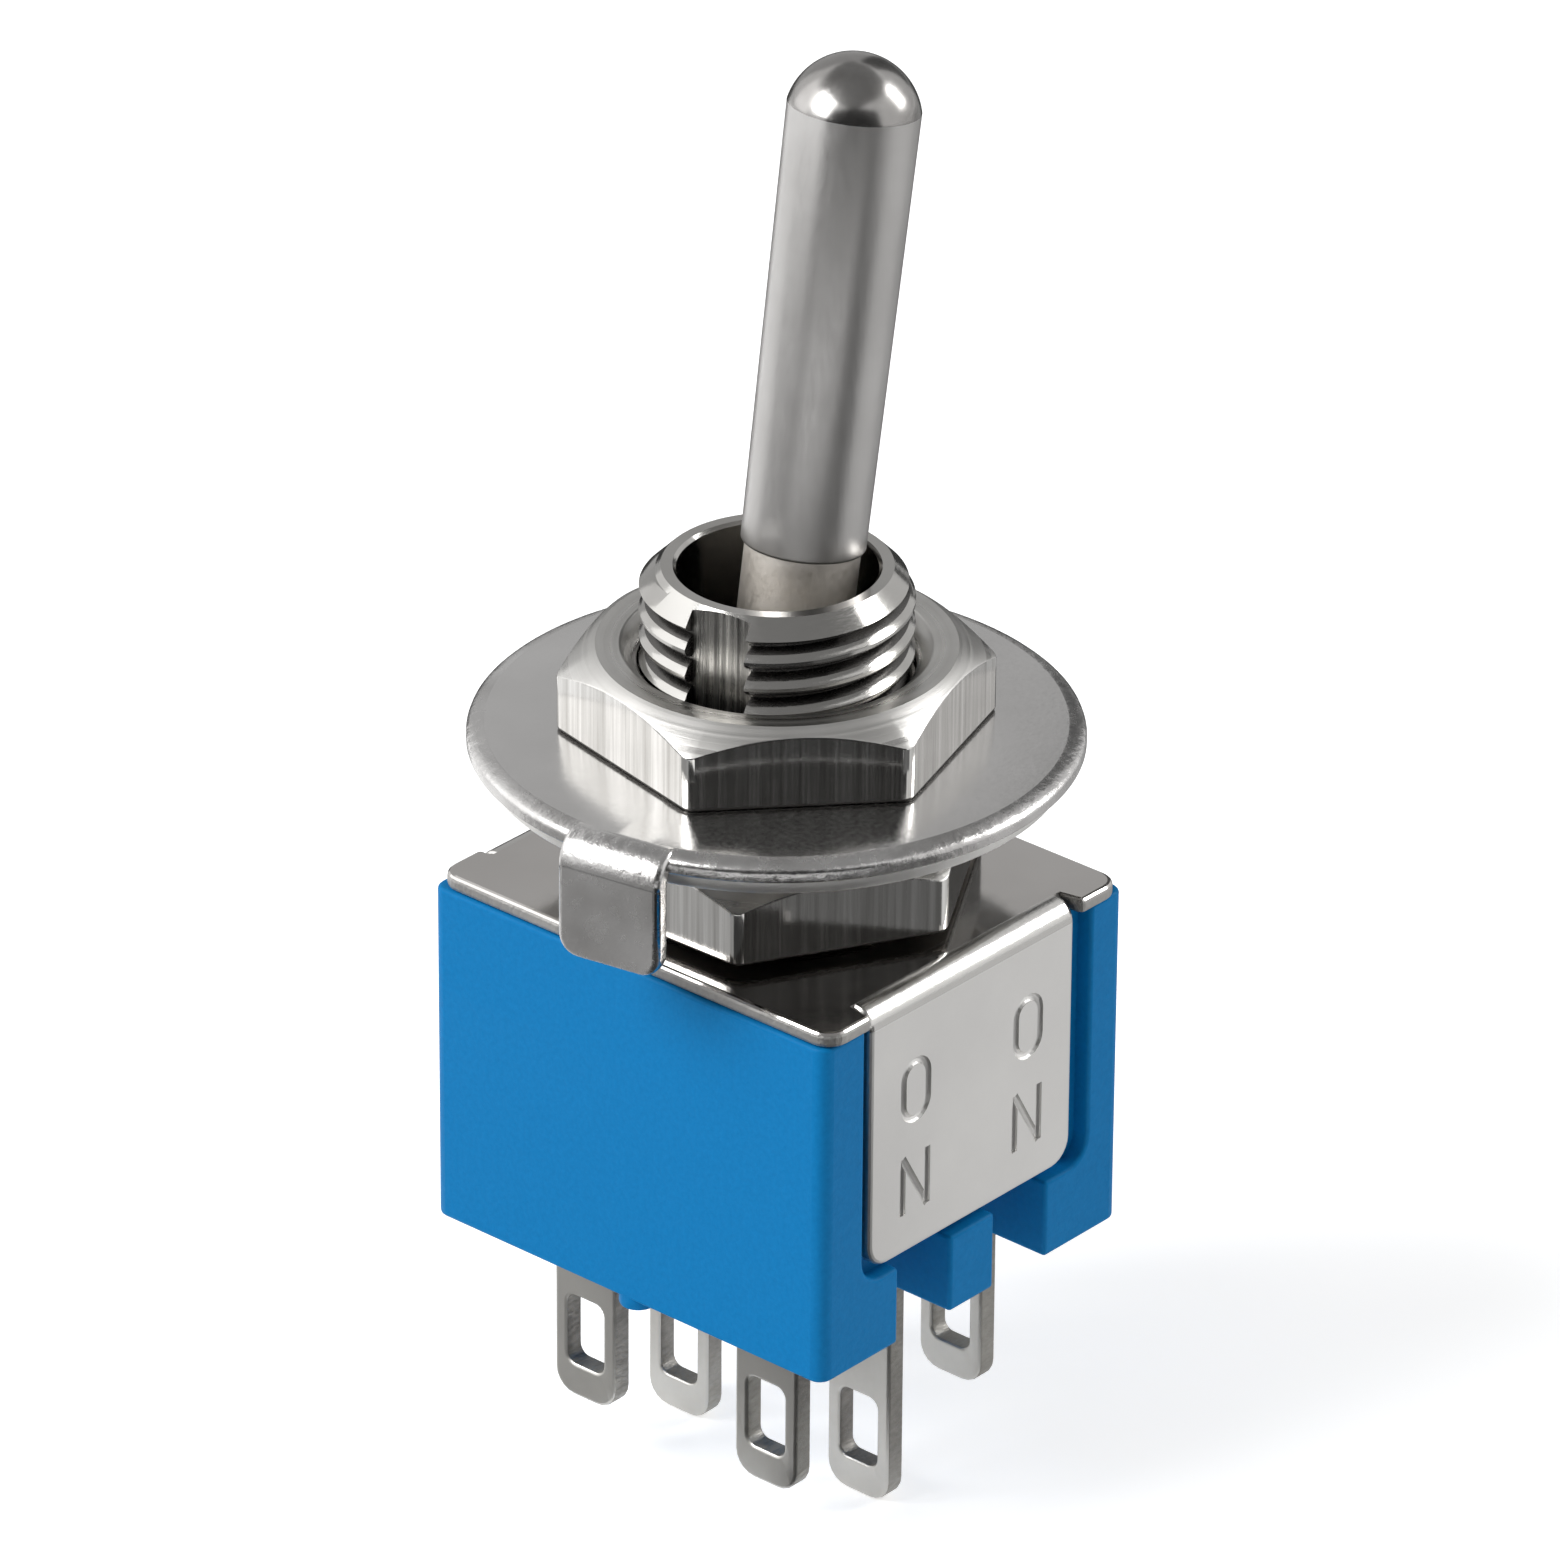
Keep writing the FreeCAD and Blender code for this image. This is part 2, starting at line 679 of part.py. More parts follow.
def make_rocker(y):
    """See-saw contact strip with a valley over the common lug and a pad at each end."""
    valley_under = rocker_valley_top - rocker_sheet
    wing_under = rocker_wing_top - rocker_sheet
    near = rocker_valley_half_length
    far = rocker_reach
    outline = [
        (-far, wing_under), (-near, wing_under), (0, valley_under), (near, wing_under),
        (far, wing_under), (far, rocker_wing_top), (near, rocker_wing_top),
        (0, rocker_valley_top), (-near, rocker_wing_top), (-far, rocker_wing_top),
    ]
    strip = along_y(outline, y - rocker_width / 2, y + rocker_width / 2)
    for side_name, direction in sides():
        x = direction * contact_offset
        strip = strip.fuse(upright_cylinder(pad_radius, pad_bottom, rocker_wing_top, x, y))
    seat = Part.makeCylinder(rocker_seat_radius, 2 * rocker_width,
                             Vector(0, y - rocker_width, 0), hinge_direction)
    rocker = strip.cut(seat).removeSplitter()
    rocker.translate(Vector(0, 0, rocker_axis_height))
    rocker.rotate(Vector(0, 0, rocker_axis_height), hinge_direction, -rocker_tilt)
    return rocker


def soldering_blade(x, y, drop, top):
    """Flat blade with rounded lower corners and a slot for the wire."""
    low = case_bottom - drop
    blade = block_between(x - lug_sheet / 2, x + lug_sheet / 2, y - lug_width / 2,
                          y + lug_width / 2, low, top)
    corners = straight_edges(blade, throw_direction, is_level(low))
    blade = blade.makeFillet(lug_corner_radius, corners)
    slot_low = low + lug_slot_foot
    slot = block_between(x - lug_sheet, x + lug_sheet, y - lug_slot_width / 2,
                         y + lug_slot_width / 2, slot_low, slot_low + lug_slot_height)
    slot = slot.makeFillet(lug_slot_corner_radius, straight_edges(slot, throw_direction))
    return blade.cut(slot)


def make_common_lug(y):
    """Middle lug of a pole, whose rounded top edge the see-saw contact rocks on."""
    lug = soldering_blade(0, y, common_lug_drop, floor_top)
    fork = block_between(-lug_sheet / 2, lug_sheet / 2, y - common_fork_width / 2,
                         y + common_fork_width / 2, floor_top, rocker_axis_height)
    edge = Part.makeCylinder(blade_edge_radius, common_fork_width,
                             Vector(0, y - common_fork_width / 2, rocker_axis_height),
                             hinge_direction)
    return lug.fuse(fork).fuse(edge).removeSplitter()


def make_throw_lug(direction, y):
    """Outer lug, bent over inside the case to carry its contact rivet."""
    x = direction * lug_pitch
    lug = soldering_blade(x, y, throw_lug_drop, floor_top)
    outer = direction * (lug_pitch + lug_sheet / 2)
    inner = direction * (contact_offset - shelf_end)
    shelf = block_between(min(outer, inner), max(outer, inner), y - shelf_width / 2,
                          y + shelf_width / 2, floor_top, shelf_top)
    hole = upright_cylinder(rivet_shank_radius, floor_top, shelf_top,
                            direction * contact_offset, y)
    return lug.fuse(shelf).cut(hole).removeSplitter()


def make_contact_rivet(direction, y):
    """Contact rivet set in the bent end of a throw lug."""
    x = direction * contact_offset
    head = upright_cylinder(rivet_head_radius, shelf_top, rivet_top, x, y)
    shank = upright_cylinder(rivet_shank_radius, floor_top, shelf_top, x, y)
    return head.fuse(shank).removeSplitter()


def make_parts():
    """All pieces by node name."""
    parts = {
        "case": moved_with_case(make_case()),
        "cover_frame": make_cover(),
        "bushing": make_bushing(),
        "lever": make_lever(),
        "pivot_pin": make_pivot_pin(),
        "upper_nut": make_nut(upper_nut_height, upper_nut_angle),
        "lower_nut": make_nut(lower_nut_height, lower_nut_angle),
        "locking_ring": make_locking_ring(),
        "lock_washer": make_lock_washer(),
        "actuator_block": make_actuator_block(),
    }
    for row_name, y in rows():
        parts[row_name + "_plunger"] = make_plunger(y)
        parts[row_name + "_plunger_spring"] = make_plunger_spring(y)
        parts[row_name + "_rocker"] = moved_with_case(make_rocker(y))
        parts[row_name + "_common_lug"] = moved_with_case(make_common_lug(y))
        for side_name, direction in sides():
            place = row_name + "_" + side_name
            parts[place + "_lug"] = moved_with_case(make_throw_lug(direction, y))
            parts[place + "_contact"] = moved_with_case(make_contact_rivet(direction, y))
    return parts


os.makedirs("parts", exist_ok=True)
for node, shape in make_parts().items():
    shape.Solids[0].exportStep("parts/" + node + ".step")
    print(node, len(shape.Solids), round(shape.Volume, 4), shape.isValid())
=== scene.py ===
"""Panel toggle switch with a round bat lever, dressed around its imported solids.

Sizes are in millimetres and angles in degrees, in the frame of the solids: the origin is
on the bushing axis at the cover's top face, +Z points up the bushing and the lever throws
along X. Each piece is made in millimetres and is scaled to metres once, when it is placed.
"""

from __future__ import annotations

import logging
import math
from collections.abc import Callable, Sequence
from dataclasses import dataclass
from enum import Enum

import bmesh
import bpy
from mathutils import Matrix, Vector


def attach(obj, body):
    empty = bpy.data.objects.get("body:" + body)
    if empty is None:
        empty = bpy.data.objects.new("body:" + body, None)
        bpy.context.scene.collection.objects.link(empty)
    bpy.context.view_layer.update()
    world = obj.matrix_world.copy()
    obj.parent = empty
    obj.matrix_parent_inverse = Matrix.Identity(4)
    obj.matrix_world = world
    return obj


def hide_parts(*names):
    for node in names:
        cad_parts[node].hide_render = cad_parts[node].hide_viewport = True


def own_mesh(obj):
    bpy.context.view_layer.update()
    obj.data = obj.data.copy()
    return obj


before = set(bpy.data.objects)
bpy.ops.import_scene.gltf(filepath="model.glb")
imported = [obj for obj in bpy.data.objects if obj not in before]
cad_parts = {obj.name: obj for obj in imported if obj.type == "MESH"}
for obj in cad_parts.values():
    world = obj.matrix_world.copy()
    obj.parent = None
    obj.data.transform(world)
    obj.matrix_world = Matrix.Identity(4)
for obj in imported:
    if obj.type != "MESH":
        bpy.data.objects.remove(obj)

LOG = logging.getLogger("toggle_switch")
MM = 0.001
SWITCH_BODY = "switch_body"
LEVER_BODY = "lever_body"

# The lever's pin, how far the lever leans at rest, and its direction then.
PIVOT = Vector((0.0, 0.0, 2.0))
LEVER_TILT = math.radians(9.0)
LEVER_AXIS = Vector((math.sin(LEVER_TILT), 0.0, math.cos(LEVER_TILT)))

# The case and its lugs stand this far to +X of the bushing.
CASE_OFFSET = 0.08

# Larger faces, in square millimetres, are plane and are shaded flat.
FLAT_AREA = 1.0

# How far cutting tools run past a piece, and a distance that counts as nothing.
BEYOND = 1.0
HAIR = 0.01

# Points closer than the first are merged, and faces thinner than the second dissolved.
MERGED_BELOW = 1e-4
DISSOLVED_BELOW = 1e-5

# Steps of round walls: a whole turn of wide and of small ones, and a bend in sheet.
WIDE_STEPS = 160
SMALL_STEPS = 48
BEND_STEPS = 10

# Noise values lie mostly within the spread of the middle.
NOISE_MIDDLE = 0.5
NOISE_SPREAD = 0.25

# Sockets of a colour mix, which share their names with those of other kinds.
MIX_FIRST, MIX_SECOND, MIX_RESULT = 6, 7, 2

BLACK = (0.0, 0.0, 0.0, 1.0)
WHITE = (1.0, 1.0, 1.0, 1.0)

Point = tuple[float, float, float]
Colour = tuple[float, float, float]
Profile = Sequence[tuple[float, float]]


class Axis(Enum):
    """Directions of the row frame."""

    X = (1.0, 0.0, 0.0)
    Y = (0.0, 1.0, 0.0)
    Z = (0.0, 0.0, 1.0)

    @property
    def vector(self) -> Vector:
        """The direction as a vector."""
        return Vector(self.value)


class Cutting(Enum):
    """Ways in which two blanks are combined."""

    REMOVE = "DIFFERENCE"
    ADD = "UNION"
    KEEP = "INTERSECT"


class Row(Enum):
    """The two poles of the switch, by their place along Y."""

    FRONT = -1
    REAR = 1

    @property
    def label(self) -> str:
        """The pole's name in the solids."""
        return self.name.lower()


class Side(Enum):
    """Places of a pole's lugs along X."""

    LEFT = -1
    COMMON = 0
    RIGHT = 1

    @property
    def label(self) -> str:
        """The place's name in the solids."""
        return self.name.lower()


def arc(centre: tuple[float, float], radius: float, start: float, end: float,
        steps: int) -> list[tuple[float, float]]:
    """Points along a circular arc of a turned profile.

    Args:
        centre: Centre as (radius, height).
        radius: Radius of the arc.
        start: First angle in degrees, from the outward radius towards +Z.
        end: Last angle in degrees.
        steps: Number of straight runs.

    Returns:
        The points as (radius, height), both ends included.
    """
    points = []
    for step in range(steps + 1):
        angle = math.radians(start + (end - start) * step / steps)
        points.append((centre[0] + radius * math.cos(angle),
                       centre[1] + radius * math.sin(angle)))
    return points


def drawn_out(mesh: bmesh.types.BMesh, face: bmesh.types.BMFace,
              run: Point) -> bmesh.types.BMFace:
    """Draw a face out along a straight run.

    Args:
        mesh: The mesh that holds the face.
        face: The face.
        run: Where it is drawn to.

    Returns:
        The face at the end of the run.
    """
    drawn = bmesh.ops.extrude_face_region(mesh, geom=[face], use_keep_orig=True)
    moved = [item for item in drawn["geom"] if isinstance(item, bmesh.types.BMVert)]
    bmesh.ops.translate(mesh, vec=run, verts=moved)
    return next(item for item in drawn["geom"] if isinstance(item, bmesh.types.BMFace))


def middle_of(edge: bmesh.types.BMEdge) -> Vector:
    """Middle point of an edge."""
    return (edge.verts[0].co + edge.verts[1].co) / 2


def mesh_data(name: str, mesh: bmesh.types.BMesh) -> bpy.types.Mesh:
    """Turn a scratch mesh into mesh data, and free it.

    Args:
        name: Name of the data.
        mesh: The scratch mesh.

    Returns:
        The data.
    """
    data = bpy.data.meshes.new(name)
    mesh.to_mesh(data)
    mesh.free()
    return data


def put(name: str, data: bpy.types.ID) -> bpy.types.Object:
    """Put an object with some data in the scene.

    Args:
        name: Name of the object.
        data: Its mesh, camera or light.

    Returns:
        The object.
    """
    thing = bpy.data.objects.new(name, data)
    bpy.context.scene.collection.objects.link(thing)
    return thing


class Blank:
    """A closed workpiece in millimetres that is cut, joined and rounded."""

    def __init__(self, mesh: bmesh.types.BMesh) -> None:
        """Take over a mesh."""
        self.mesh = mesh

    @classmethod
    def block(cls, corner: Point, opposite: Point) -> Blank:
        """Rectangular block between two corners.

        Args:
            corner: One corner.
            opposite: The corner opposite to it.

        Returns:
            The block.
        """
        mesh = bmesh.new()
        bmesh.ops.create_cube(mesh, size=1.0)
        size = Vector([abs(side) for side in Vector(opposite) - Vector(corner)])
        middle = (Vector(opposite) + Vector(corner)) / 2
        bmesh.ops.scale(mesh, vec=size, verts=mesh.verts)
        bmesh.ops.translate(mesh, vec=middle, verts=mesh.verts)
        return cls(mesh)

    @classmethod
    def rod(cls, radius: float, low: float, high: float, place: tuple[float, float] = (0, 0),
            steps: int = 96) -> Blank:
        """Upright cylinder.

        Args:
            radius: Radius of the rod.
            low: Height of its lower end.
            high: Height of its upper end.
            place: Its axis as (x, y).
            steps: Sides of its round wall.

        Returns:
            The cylinder.
        """
        mesh = bmesh.new()
        bmesh.ops.create_cone(mesh, cap_ends=True, cap_tris=False, segments=steps,
                              radius1=radius, radius2=radius, depth=high - low)
        middle = Vector((place[0], place[1], (low + high) / 2))
        bmesh.ops.translate(mesh, vec=middle, verts=mesh.verts)
        return cls(mesh)

    @classmethod
    def turned(cls, profile: Profile, steps: int = 128, ring: bool = False) -> Blank:
        """Solid of revolution about Z.

        Args:
            profile: Points as (radius, height). Its ends lie on the axis unless it is a ring.
            steps: Number of steps in the full turn.
            ring: Whether the profile closes on itself, off the axis.

        Returns:
            The turned solid.
        """
        mesh = bmesh.new()
        points = [mesh.verts.new((radius, 0.0, height)) for radius, height in profile]
        runs = [mesh.edges.new(pair) for pair in zip(points, points[1:])]
        if ring:
            runs.append(mesh.edges.new((points[-1], points[0])))
        bmesh.ops.spin(mesh, geom=points + runs, cent=(0, 0, 0), axis=(0, 0, 1),
                       angle=2 * math.pi, steps=steps, use_merge=True)
        return cls(mesh).tidied()

    @classmethod
    def slab(cls, outline: Sequence[Point], run: Point) -> Blank:
        """Flat outline drawn out along a straight run.

        Args:
            outline: Corners of the flat outline in order.
            run: Where the outline is drawn to.

        Returns:
            The slab.
        """
        mesh = bmesh.new()
        face = mesh.faces.new([mesh.verts.new(point) for point in outline])
        drawn_out(mesh, face, run)
        return cls(mesh).tidied()

    @classmethod
    def bent_strip(cls, root: Sequence[Point], run: Point, taper: Point, hinge: Point,
                   axis: Axis, drop: float) -> Blank:
        """Strip of sheet that runs out level, bends down by a quarter turn and ends.

        Args:
            root: Corners of its inner end, in order.
            run: Level run up to the bend.
            taper: Scale of the inner end, which keeps its edges inside the parent sheet.
            hinge: Point on the axis of the bend.
            axis: Direction of that axis.
            drop: Rise of the straight run after the bend, below zero as it goes down.

        Returns:
            The strip.
        """
        mesh = bmesh.new()
        level = (root[0][2] + root[-1][2]) / 2
        inner = mesh.faces.new([mesh.verts.new(point) for point in root])
        front = drawn_out(mesh, inner, run)
        bmesh.ops.scale(mesh, vec=taper, verts=inner.verts,
                        space=Matrix.Translation((0.0, 0.0, -level)))
        bent = bmesh.ops.spin(mesh, geom=[front, *front.edges, *front.verts], cent=hinge,
                              axis=axis.vector, angle=math.pi / 2, steps=BEND_STEPS)
        tip = next(item for item in bent["geom_last"]
                   if isinstance(item, bmesh.types.BMFace))
        drawn_out(mesh, tip, (0.0, 0.0, drop))
        return cls(mesh).tidied()

    @classmethod
    def wire(cls, points: Sequence[Point], radius: float, closed: bool) -> Blank:
        """Round wire along a line of points.

        Args:
            points: Points of the line.
            radius: Radius of the wire.
            closed: Whether the line closes on itself.

        Returns:
            The wire.
        """
        curve = bpy.data.curves.new("wire", "CURVE")
        curve.dimensions = "3D"
        curve.bevel_depth = radius
        curve.bevel_resolution = 3
        curve.use_fill_caps = True
        line = curve.splines.new("POLY")
        line.points.add(len(points) - 1)
        for target, point in zip(line.points, points):
            target.co = (*point, 1.0)
        line.use_cyclic_u = closed
        carrier = bpy.data.objects.new("wire", curve)
        data = bpy.data.meshes.new_from_object(carrier)
        mesh = bmesh.new()
        mesh.from_mesh(data)
        bpy.data.objects.remove(carrier)
        bpy.data.curves.remove(curve)
        bpy.data.meshes.remove(data)
        return cls(mesh).tidied()

    def merged(self) -> Blank:
        """Merge doubled points and dissolve faces without area.

        Returns:
            The same blank.
        """
        bmesh.ops.remove_doubles(self.mesh, verts=self.mesh.verts, dist=MERGED_BELOW)
        bmesh.ops.dissolve_degenerate(self.mesh, edges=self.mesh.edges, dist=DISSOLVED_BELOW)
        return self

    def tidied(self) -> Blank:
        """Merge doubled points and turn all faces outwards.

        Returns:
            The same blank.
        """
        bmesh.ops.recalc_face_normals(self.mesh, faces=self.merged().mesh.faces)
        return self

    def turn(self, angle: float, axis: Axis = Axis.Z, centre: Vector | None = None) -> Blank:
        """Rotate the blank.

        Args:
            angle: Angle in radians by the right-hand rule.
            axis: Direction of the axis.
            centre: Point on the axis, the origin if none is given.

        Returns:
            The same blank.
        """
        turning = Matrix.Rotation(angle, 3, axis.vector)
        bmesh.ops.rotate(self.mesh, cent=centre or Vector(), matrix=turning,
                         verts=self.mesh.verts)
        return self

    def move(self, x: float = 0.0, y: float = 0.0, z: float = 0.0) -> Blank:
        """Shift the blank."""
        bmesh.ops.translate(self.mesh, vec=(x, y, z), verts=self.mesh.verts)
        return self

    def edges_along(self, axis: Axis, test: Callable[[Vector], bool] | None = None
                    ) -> list[bmesh.types.BMEdge]:
        """Edges that run along an axis.

        Args:
            axis: The direction.
            test: Condition on the edge's middle point.

        Returns:
            The edges.
        """
        found = []
        for edge in self.mesh.edges:
            run = edge.verts[1].co - edge.verts[0].co
            if abs(run.dot(axis.vector)) < 0.999 * run.length:
                continue
            if test is None or test(middle_of(edge)):
                found.append(edge)
        return found

    def round_edges(self, edges: Sequence[bmesh.types.BMEdge], radius: float,
                    segments: int = 6) -> Blank:
        """Round off some edges.

        Args:
            edges: The edges.
            radius: Distance of the rounding from each edge.
            segments: Number of strips in each rounding.

        Returns:
            The same blank.
        """
        bmesh.ops.bevel(self.mesh, geom=list(edges), offset=radius, offset_type="OFFSET",
                        affect="EDGES", segments=segments, profile=0.5, clamp_overlap=True,
                        material=-1)
        return self

    def soften(self, width: float, segments: int = 2, sharper_than: float = 32.0,
               spared: Callable[[bmesh.types.BMEdge], bool] | None = None) -> Blank:
        """Take the sharpness off every sharp outer edge.

        Args:
            width: Width of the softening.
            segments: Number of strips in it.
            sharper_than: Smallest angle in degrees between faces that counts as sharp.
            spared: Says of an edge that it stays sharp.

        Returns:
            The same blank.
        """
        limit = math.radians(sharper_than)
        sharp = [edge for edge in self.mesh.edges
                 if edge.is_convex and edge.calc_face_angle(0.0) > limit
                 and (spared is None or not spared(edge))]
        return self.round_edges(sharp, width, segments)

    def combine(self, other: Blank, how: Cutting) -> Blank:
        """Combine this blank with another one.

        Args:
            other: The tool, which is used up.
            how: What is done with it.

        Returns:
            The same blank.
        """
        mine, theirs = self._carrier(), other._carrier()
        step = mine.modifiers.new("combine", "BOOLEAN")
        step.operation = how.value
        step.object = theirs
        step.solver = "EXACT"
        bpy.context.view_layer.update()
        graph = bpy.context.evaluated_depsgraph_get()
        data = bpy.data.meshes.new_from_object(mine.evaluated_get(graph))
        self.mesh.clear()
        self.mesh.from_mesh(data)
        for carrier in (mine, theirs):
            used = carrier.data
            bpy.data.objects.remove(carrier)
            bpy.data.meshes.remove(used)
        bpy.data.meshes.remove(data)
        other.mesh.free()
        return self.merged()

    def remove(self, *tools: Blank) -> Blank:
        """Cut away what other blanks fill.

        Args:
            tools: The other blanks, which are used up.

        Returns:
            The same blank.
        """
        for tool in tools:
            self.combine(tool, Cutting.REMOVE)
        return self

    def add(self, *others: Blank) -> Blank:
        """Join other blanks to this one.

        Args:
            others: The other blanks, which are used up.

        Returns:
            The same blank.
        """
        for other in others:
            self.combine(other, Cutting.ADD)
        return self

    def keep(self, hood: Blank) -> Blank:
        """Keep only what lies inside another blank."""
        return self.combine(hood, Cutting.KEEP)

    def _carrier(self) -> bpy.types.Object:
        """Scratch object that carries the blank's mesh.

        Returns:
            The object.
        """
        data = bpy.data.meshes.new("blank")
        self.mesh.to_mesh(data)
        return put("blank", data)

    def place(self, name: str, body: str, slot: str, stands_for: str,
              finishes: Sequence[bpy.types.Material],
              choose: Callable[[bmesh.types.BMFace], int] | None = None,
              smooth_below: float = 30.0) -> bpy.types.Object:
        """Put the finished blank in the scene as a piece.

        Args:
            name: Name of the piece.
            body: Body of the solids that it moves with.
            slot: Material slot of the record; not used.
            stands_for: Node of the solids that it stands for.
            finishes: Materials of the piece.
            choose: Gives the material's number for a face.
            smooth_below: Edges under this angle in degrees are shaded smooth.

        Returns:
            The piece's object.
        """
        if choose is not None:
            self.mesh.normal_update()
            for face in self.mesh.faces:
                face.material_index = choose(face)
        open_edges = [edge for edge in self.mesh.edges if not edge.is_manifold]
        bmesh.ops.scale(self.mesh, vec=(MM, MM, MM), verts=self.mesh.verts)
        data = mesh_data(name, self.mesh)
        for finish in finishes:
            data.materials.append(finish)
        data.set_sharp_from_angle(angle=math.radians(smooth_below))
        for polygon in data.polygons:
            polygon.use_smooth = polygon.area < FLAT_AREA * MM * MM
        piece = put(name, data)
        weighting = piece.modifiers.new("even_shading", "WEIGHTED_NORMAL")
        weighting.keep_sharp = True
        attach(piece, body)
        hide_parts(stands_for)
        data.calc_loop_triangles()
        LOG.info("%s: %d triangles, %d open edges", name, len(data.loop_triangles),
                 len(open_edges))
        return piece


class Tree:
    """Small helper that adds and links nodes."""

    def __init__(self, owner: bpy.types.Material | bpy.types.World) -> None:
        """Start an empty tree in a material or a world.

        Args:
            owner: The material or the world.
        """
        owner.use_nodes = True
        self.tree = owner.node_tree
        self.tree.nodes.clear()

    def add(self, kind: str, **values: object) -> bpy.types.Node:
        """Add a node and set its values.

        Args:
            kind: Node type.
            values: Attributes of the node, or inputs by name with spaces as underscores.

        Returns:
            The node.
        """
        node = self.tree.nodes.new(kind)
        for key, value in values.items():
            socket = key.replace("_", " ").title()
            if socket in node.inputs:
                node.inputs[socket].default_value = value
            else:
                setattr(node, key, value)
        return node

    def link(self, source: bpy.types.NodeSocket, target: bpy.types.NodeSocket) -> None:
        """Link two sockets."""
        self.tree.links.new(source, target)

    def directly_seen(self) -> bpy.types.NodeSocket:
        """Mask of the rays from the camera, through glass and off mirrors.

        Returns:
            The socket, 1 for those rays and 0 for the others.
        """
        path = self.add("ShaderNodeLightPath")
        mask = path.outputs["Is Camera Ray"]
        for kind in ("Is Transmission Ray", "Is Glossy Ray"):
            either = self.add("ShaderNodeMath", operation="MAXIMUM")
            self.link(mask, either.inputs[0])
            self.link(path.outputs[kind], either.inputs[1])
            mask = either.outputs["Value"]
        return mask


class Nodes(Tree):
    """The node tree of one material, with a shader to plug things into."""

    def __init__(self, name: str) -> None:
        """Start a material with a plain shader.

        Args:
            name: Name of the material.
        """
        self.material = bpy.data.materials.new(name)
        super().__init__(self.material)
        self.shader = self.add("ShaderNodeBsdfPrincipled")
        output = self.add("ShaderNodeOutputMaterial")
        self.link(self.shader.outputs["BSDF"], output.inputs["Surface"])
        self.coordinates = self.add("ShaderNodeTexCoord")

    def dress(self, values: dict[str, float | bpy.types.NodeSocket | Sequence[float]]
              ) -> bpy.types.Material:
        """Give inputs of the shader a value each, or the socket that feeds them.

        Args:
            values: Values and sockets by the name of the input.

        Returns:
            The material.
        """
        for name, value in values.items():
            if isinstance(value, bpy.types.NodeSocket):
                self.link(value, self.shader.inputs[name])
            else:
                self.shader.inputs[name].default_value = value
        return self.material

    def mapped(self, scale: Point) -> bpy.types.NodeSocket:
        """The piece's own coordinates, stretched by a scale for each millimetre.

        Args:
            scale: Scale along X, Y and Z.

        Returns:
            The socket with the coordinates.
        """
        mapping = self.add("ShaderNodeMapping", scale=[share / MM for share in scale])
        self.link(self.coordinates.outputs["Object"], mapping.inputs["Vector"])
        return mapping.outputs["Vector"]

    def noise(self, stretch: Point, detail: float = 4.0, rough: float = 0.55
              ) -> bpy.types.NodeSocket:
        """Noise on the piece's own coordinates.

        Args:
            stretch: Grains for each millimetre along X, Y and Z.
            detail: Octaves of the noise.
            rough: Weight of the finer octaves.

        Returns:
            The noise's value socket.
        """
        noise = self.add("ShaderNodeTexNoise", scale=1.0, detail=detail, roughness=rough)
        self.link(self.mapped(stretch), noise.inputs["Vector"])
        return noise.outputs["Fac"]

    def ranged(self, value: bpy.types.NodeSocket, low: float, high: float,
               contrast: float = 1.0) -> bpy.types.NodeSocket:
        """Spread a noise value over a range.

        Args:
            value: The noise.
            low: Result where the noise is low.
            high: Result where the noise is high.
            contrast: How much of the noise's middle is stretched out.

        Returns:
            The socket with the result.
        """
        half = NOISE_SPREAD / contrast
        node = self.add("ShaderNodeMapRange", from_min=NOISE_MIDDLE - half,
                        from_max=NOISE_MIDDLE + half, to_min=low, to_max=high)
        self.link(value, node.inputs["Value"])
        return node.outputs["Result"]

    def blend(self, factor: bpy.types.NodeSocket, first: Colour, second: Colour
              ) -> bpy.types.NodeSocket:
        """Blend two colours by a factor.

        Args:
            factor: Share of the second colour.
            first: Colour where the factor is 0.
            second: Colour where it is 1.

        Returns:
            The socket with the colour.
        """
        node = self.add("ShaderNodeMix", data_type="RGBA")
        self.link(factor, node.inputs["Factor"])
        node.inputs[MIX_FIRST].default_value = (*first, 1.0)
        node.inputs[MIX_SECOND].default_value = (*second, 1.0)
        return node.outputs[MIX_RESULT]

    def bump(self, height: bpy.types.NodeSocket, depth: float,
             before: bpy.types.NodeSocket | None = None) -> bpy.types.NodeSocket:
        """Small relief on the surface.

        Args:
            height: Height from 0 to 1.
            depth: Depth of the relief in millimetres.
            before: Another relief under it.

        Returns:
            The socket with the normal.
        """
        node = self.add("ShaderNodeBump", distance=depth * MM, strength=1.0)
        self.link(height, node.inputs["Height"])
        if before is not None:
            self.link(before, node.inputs["Normal"])
        return node.outputs["Normal"]


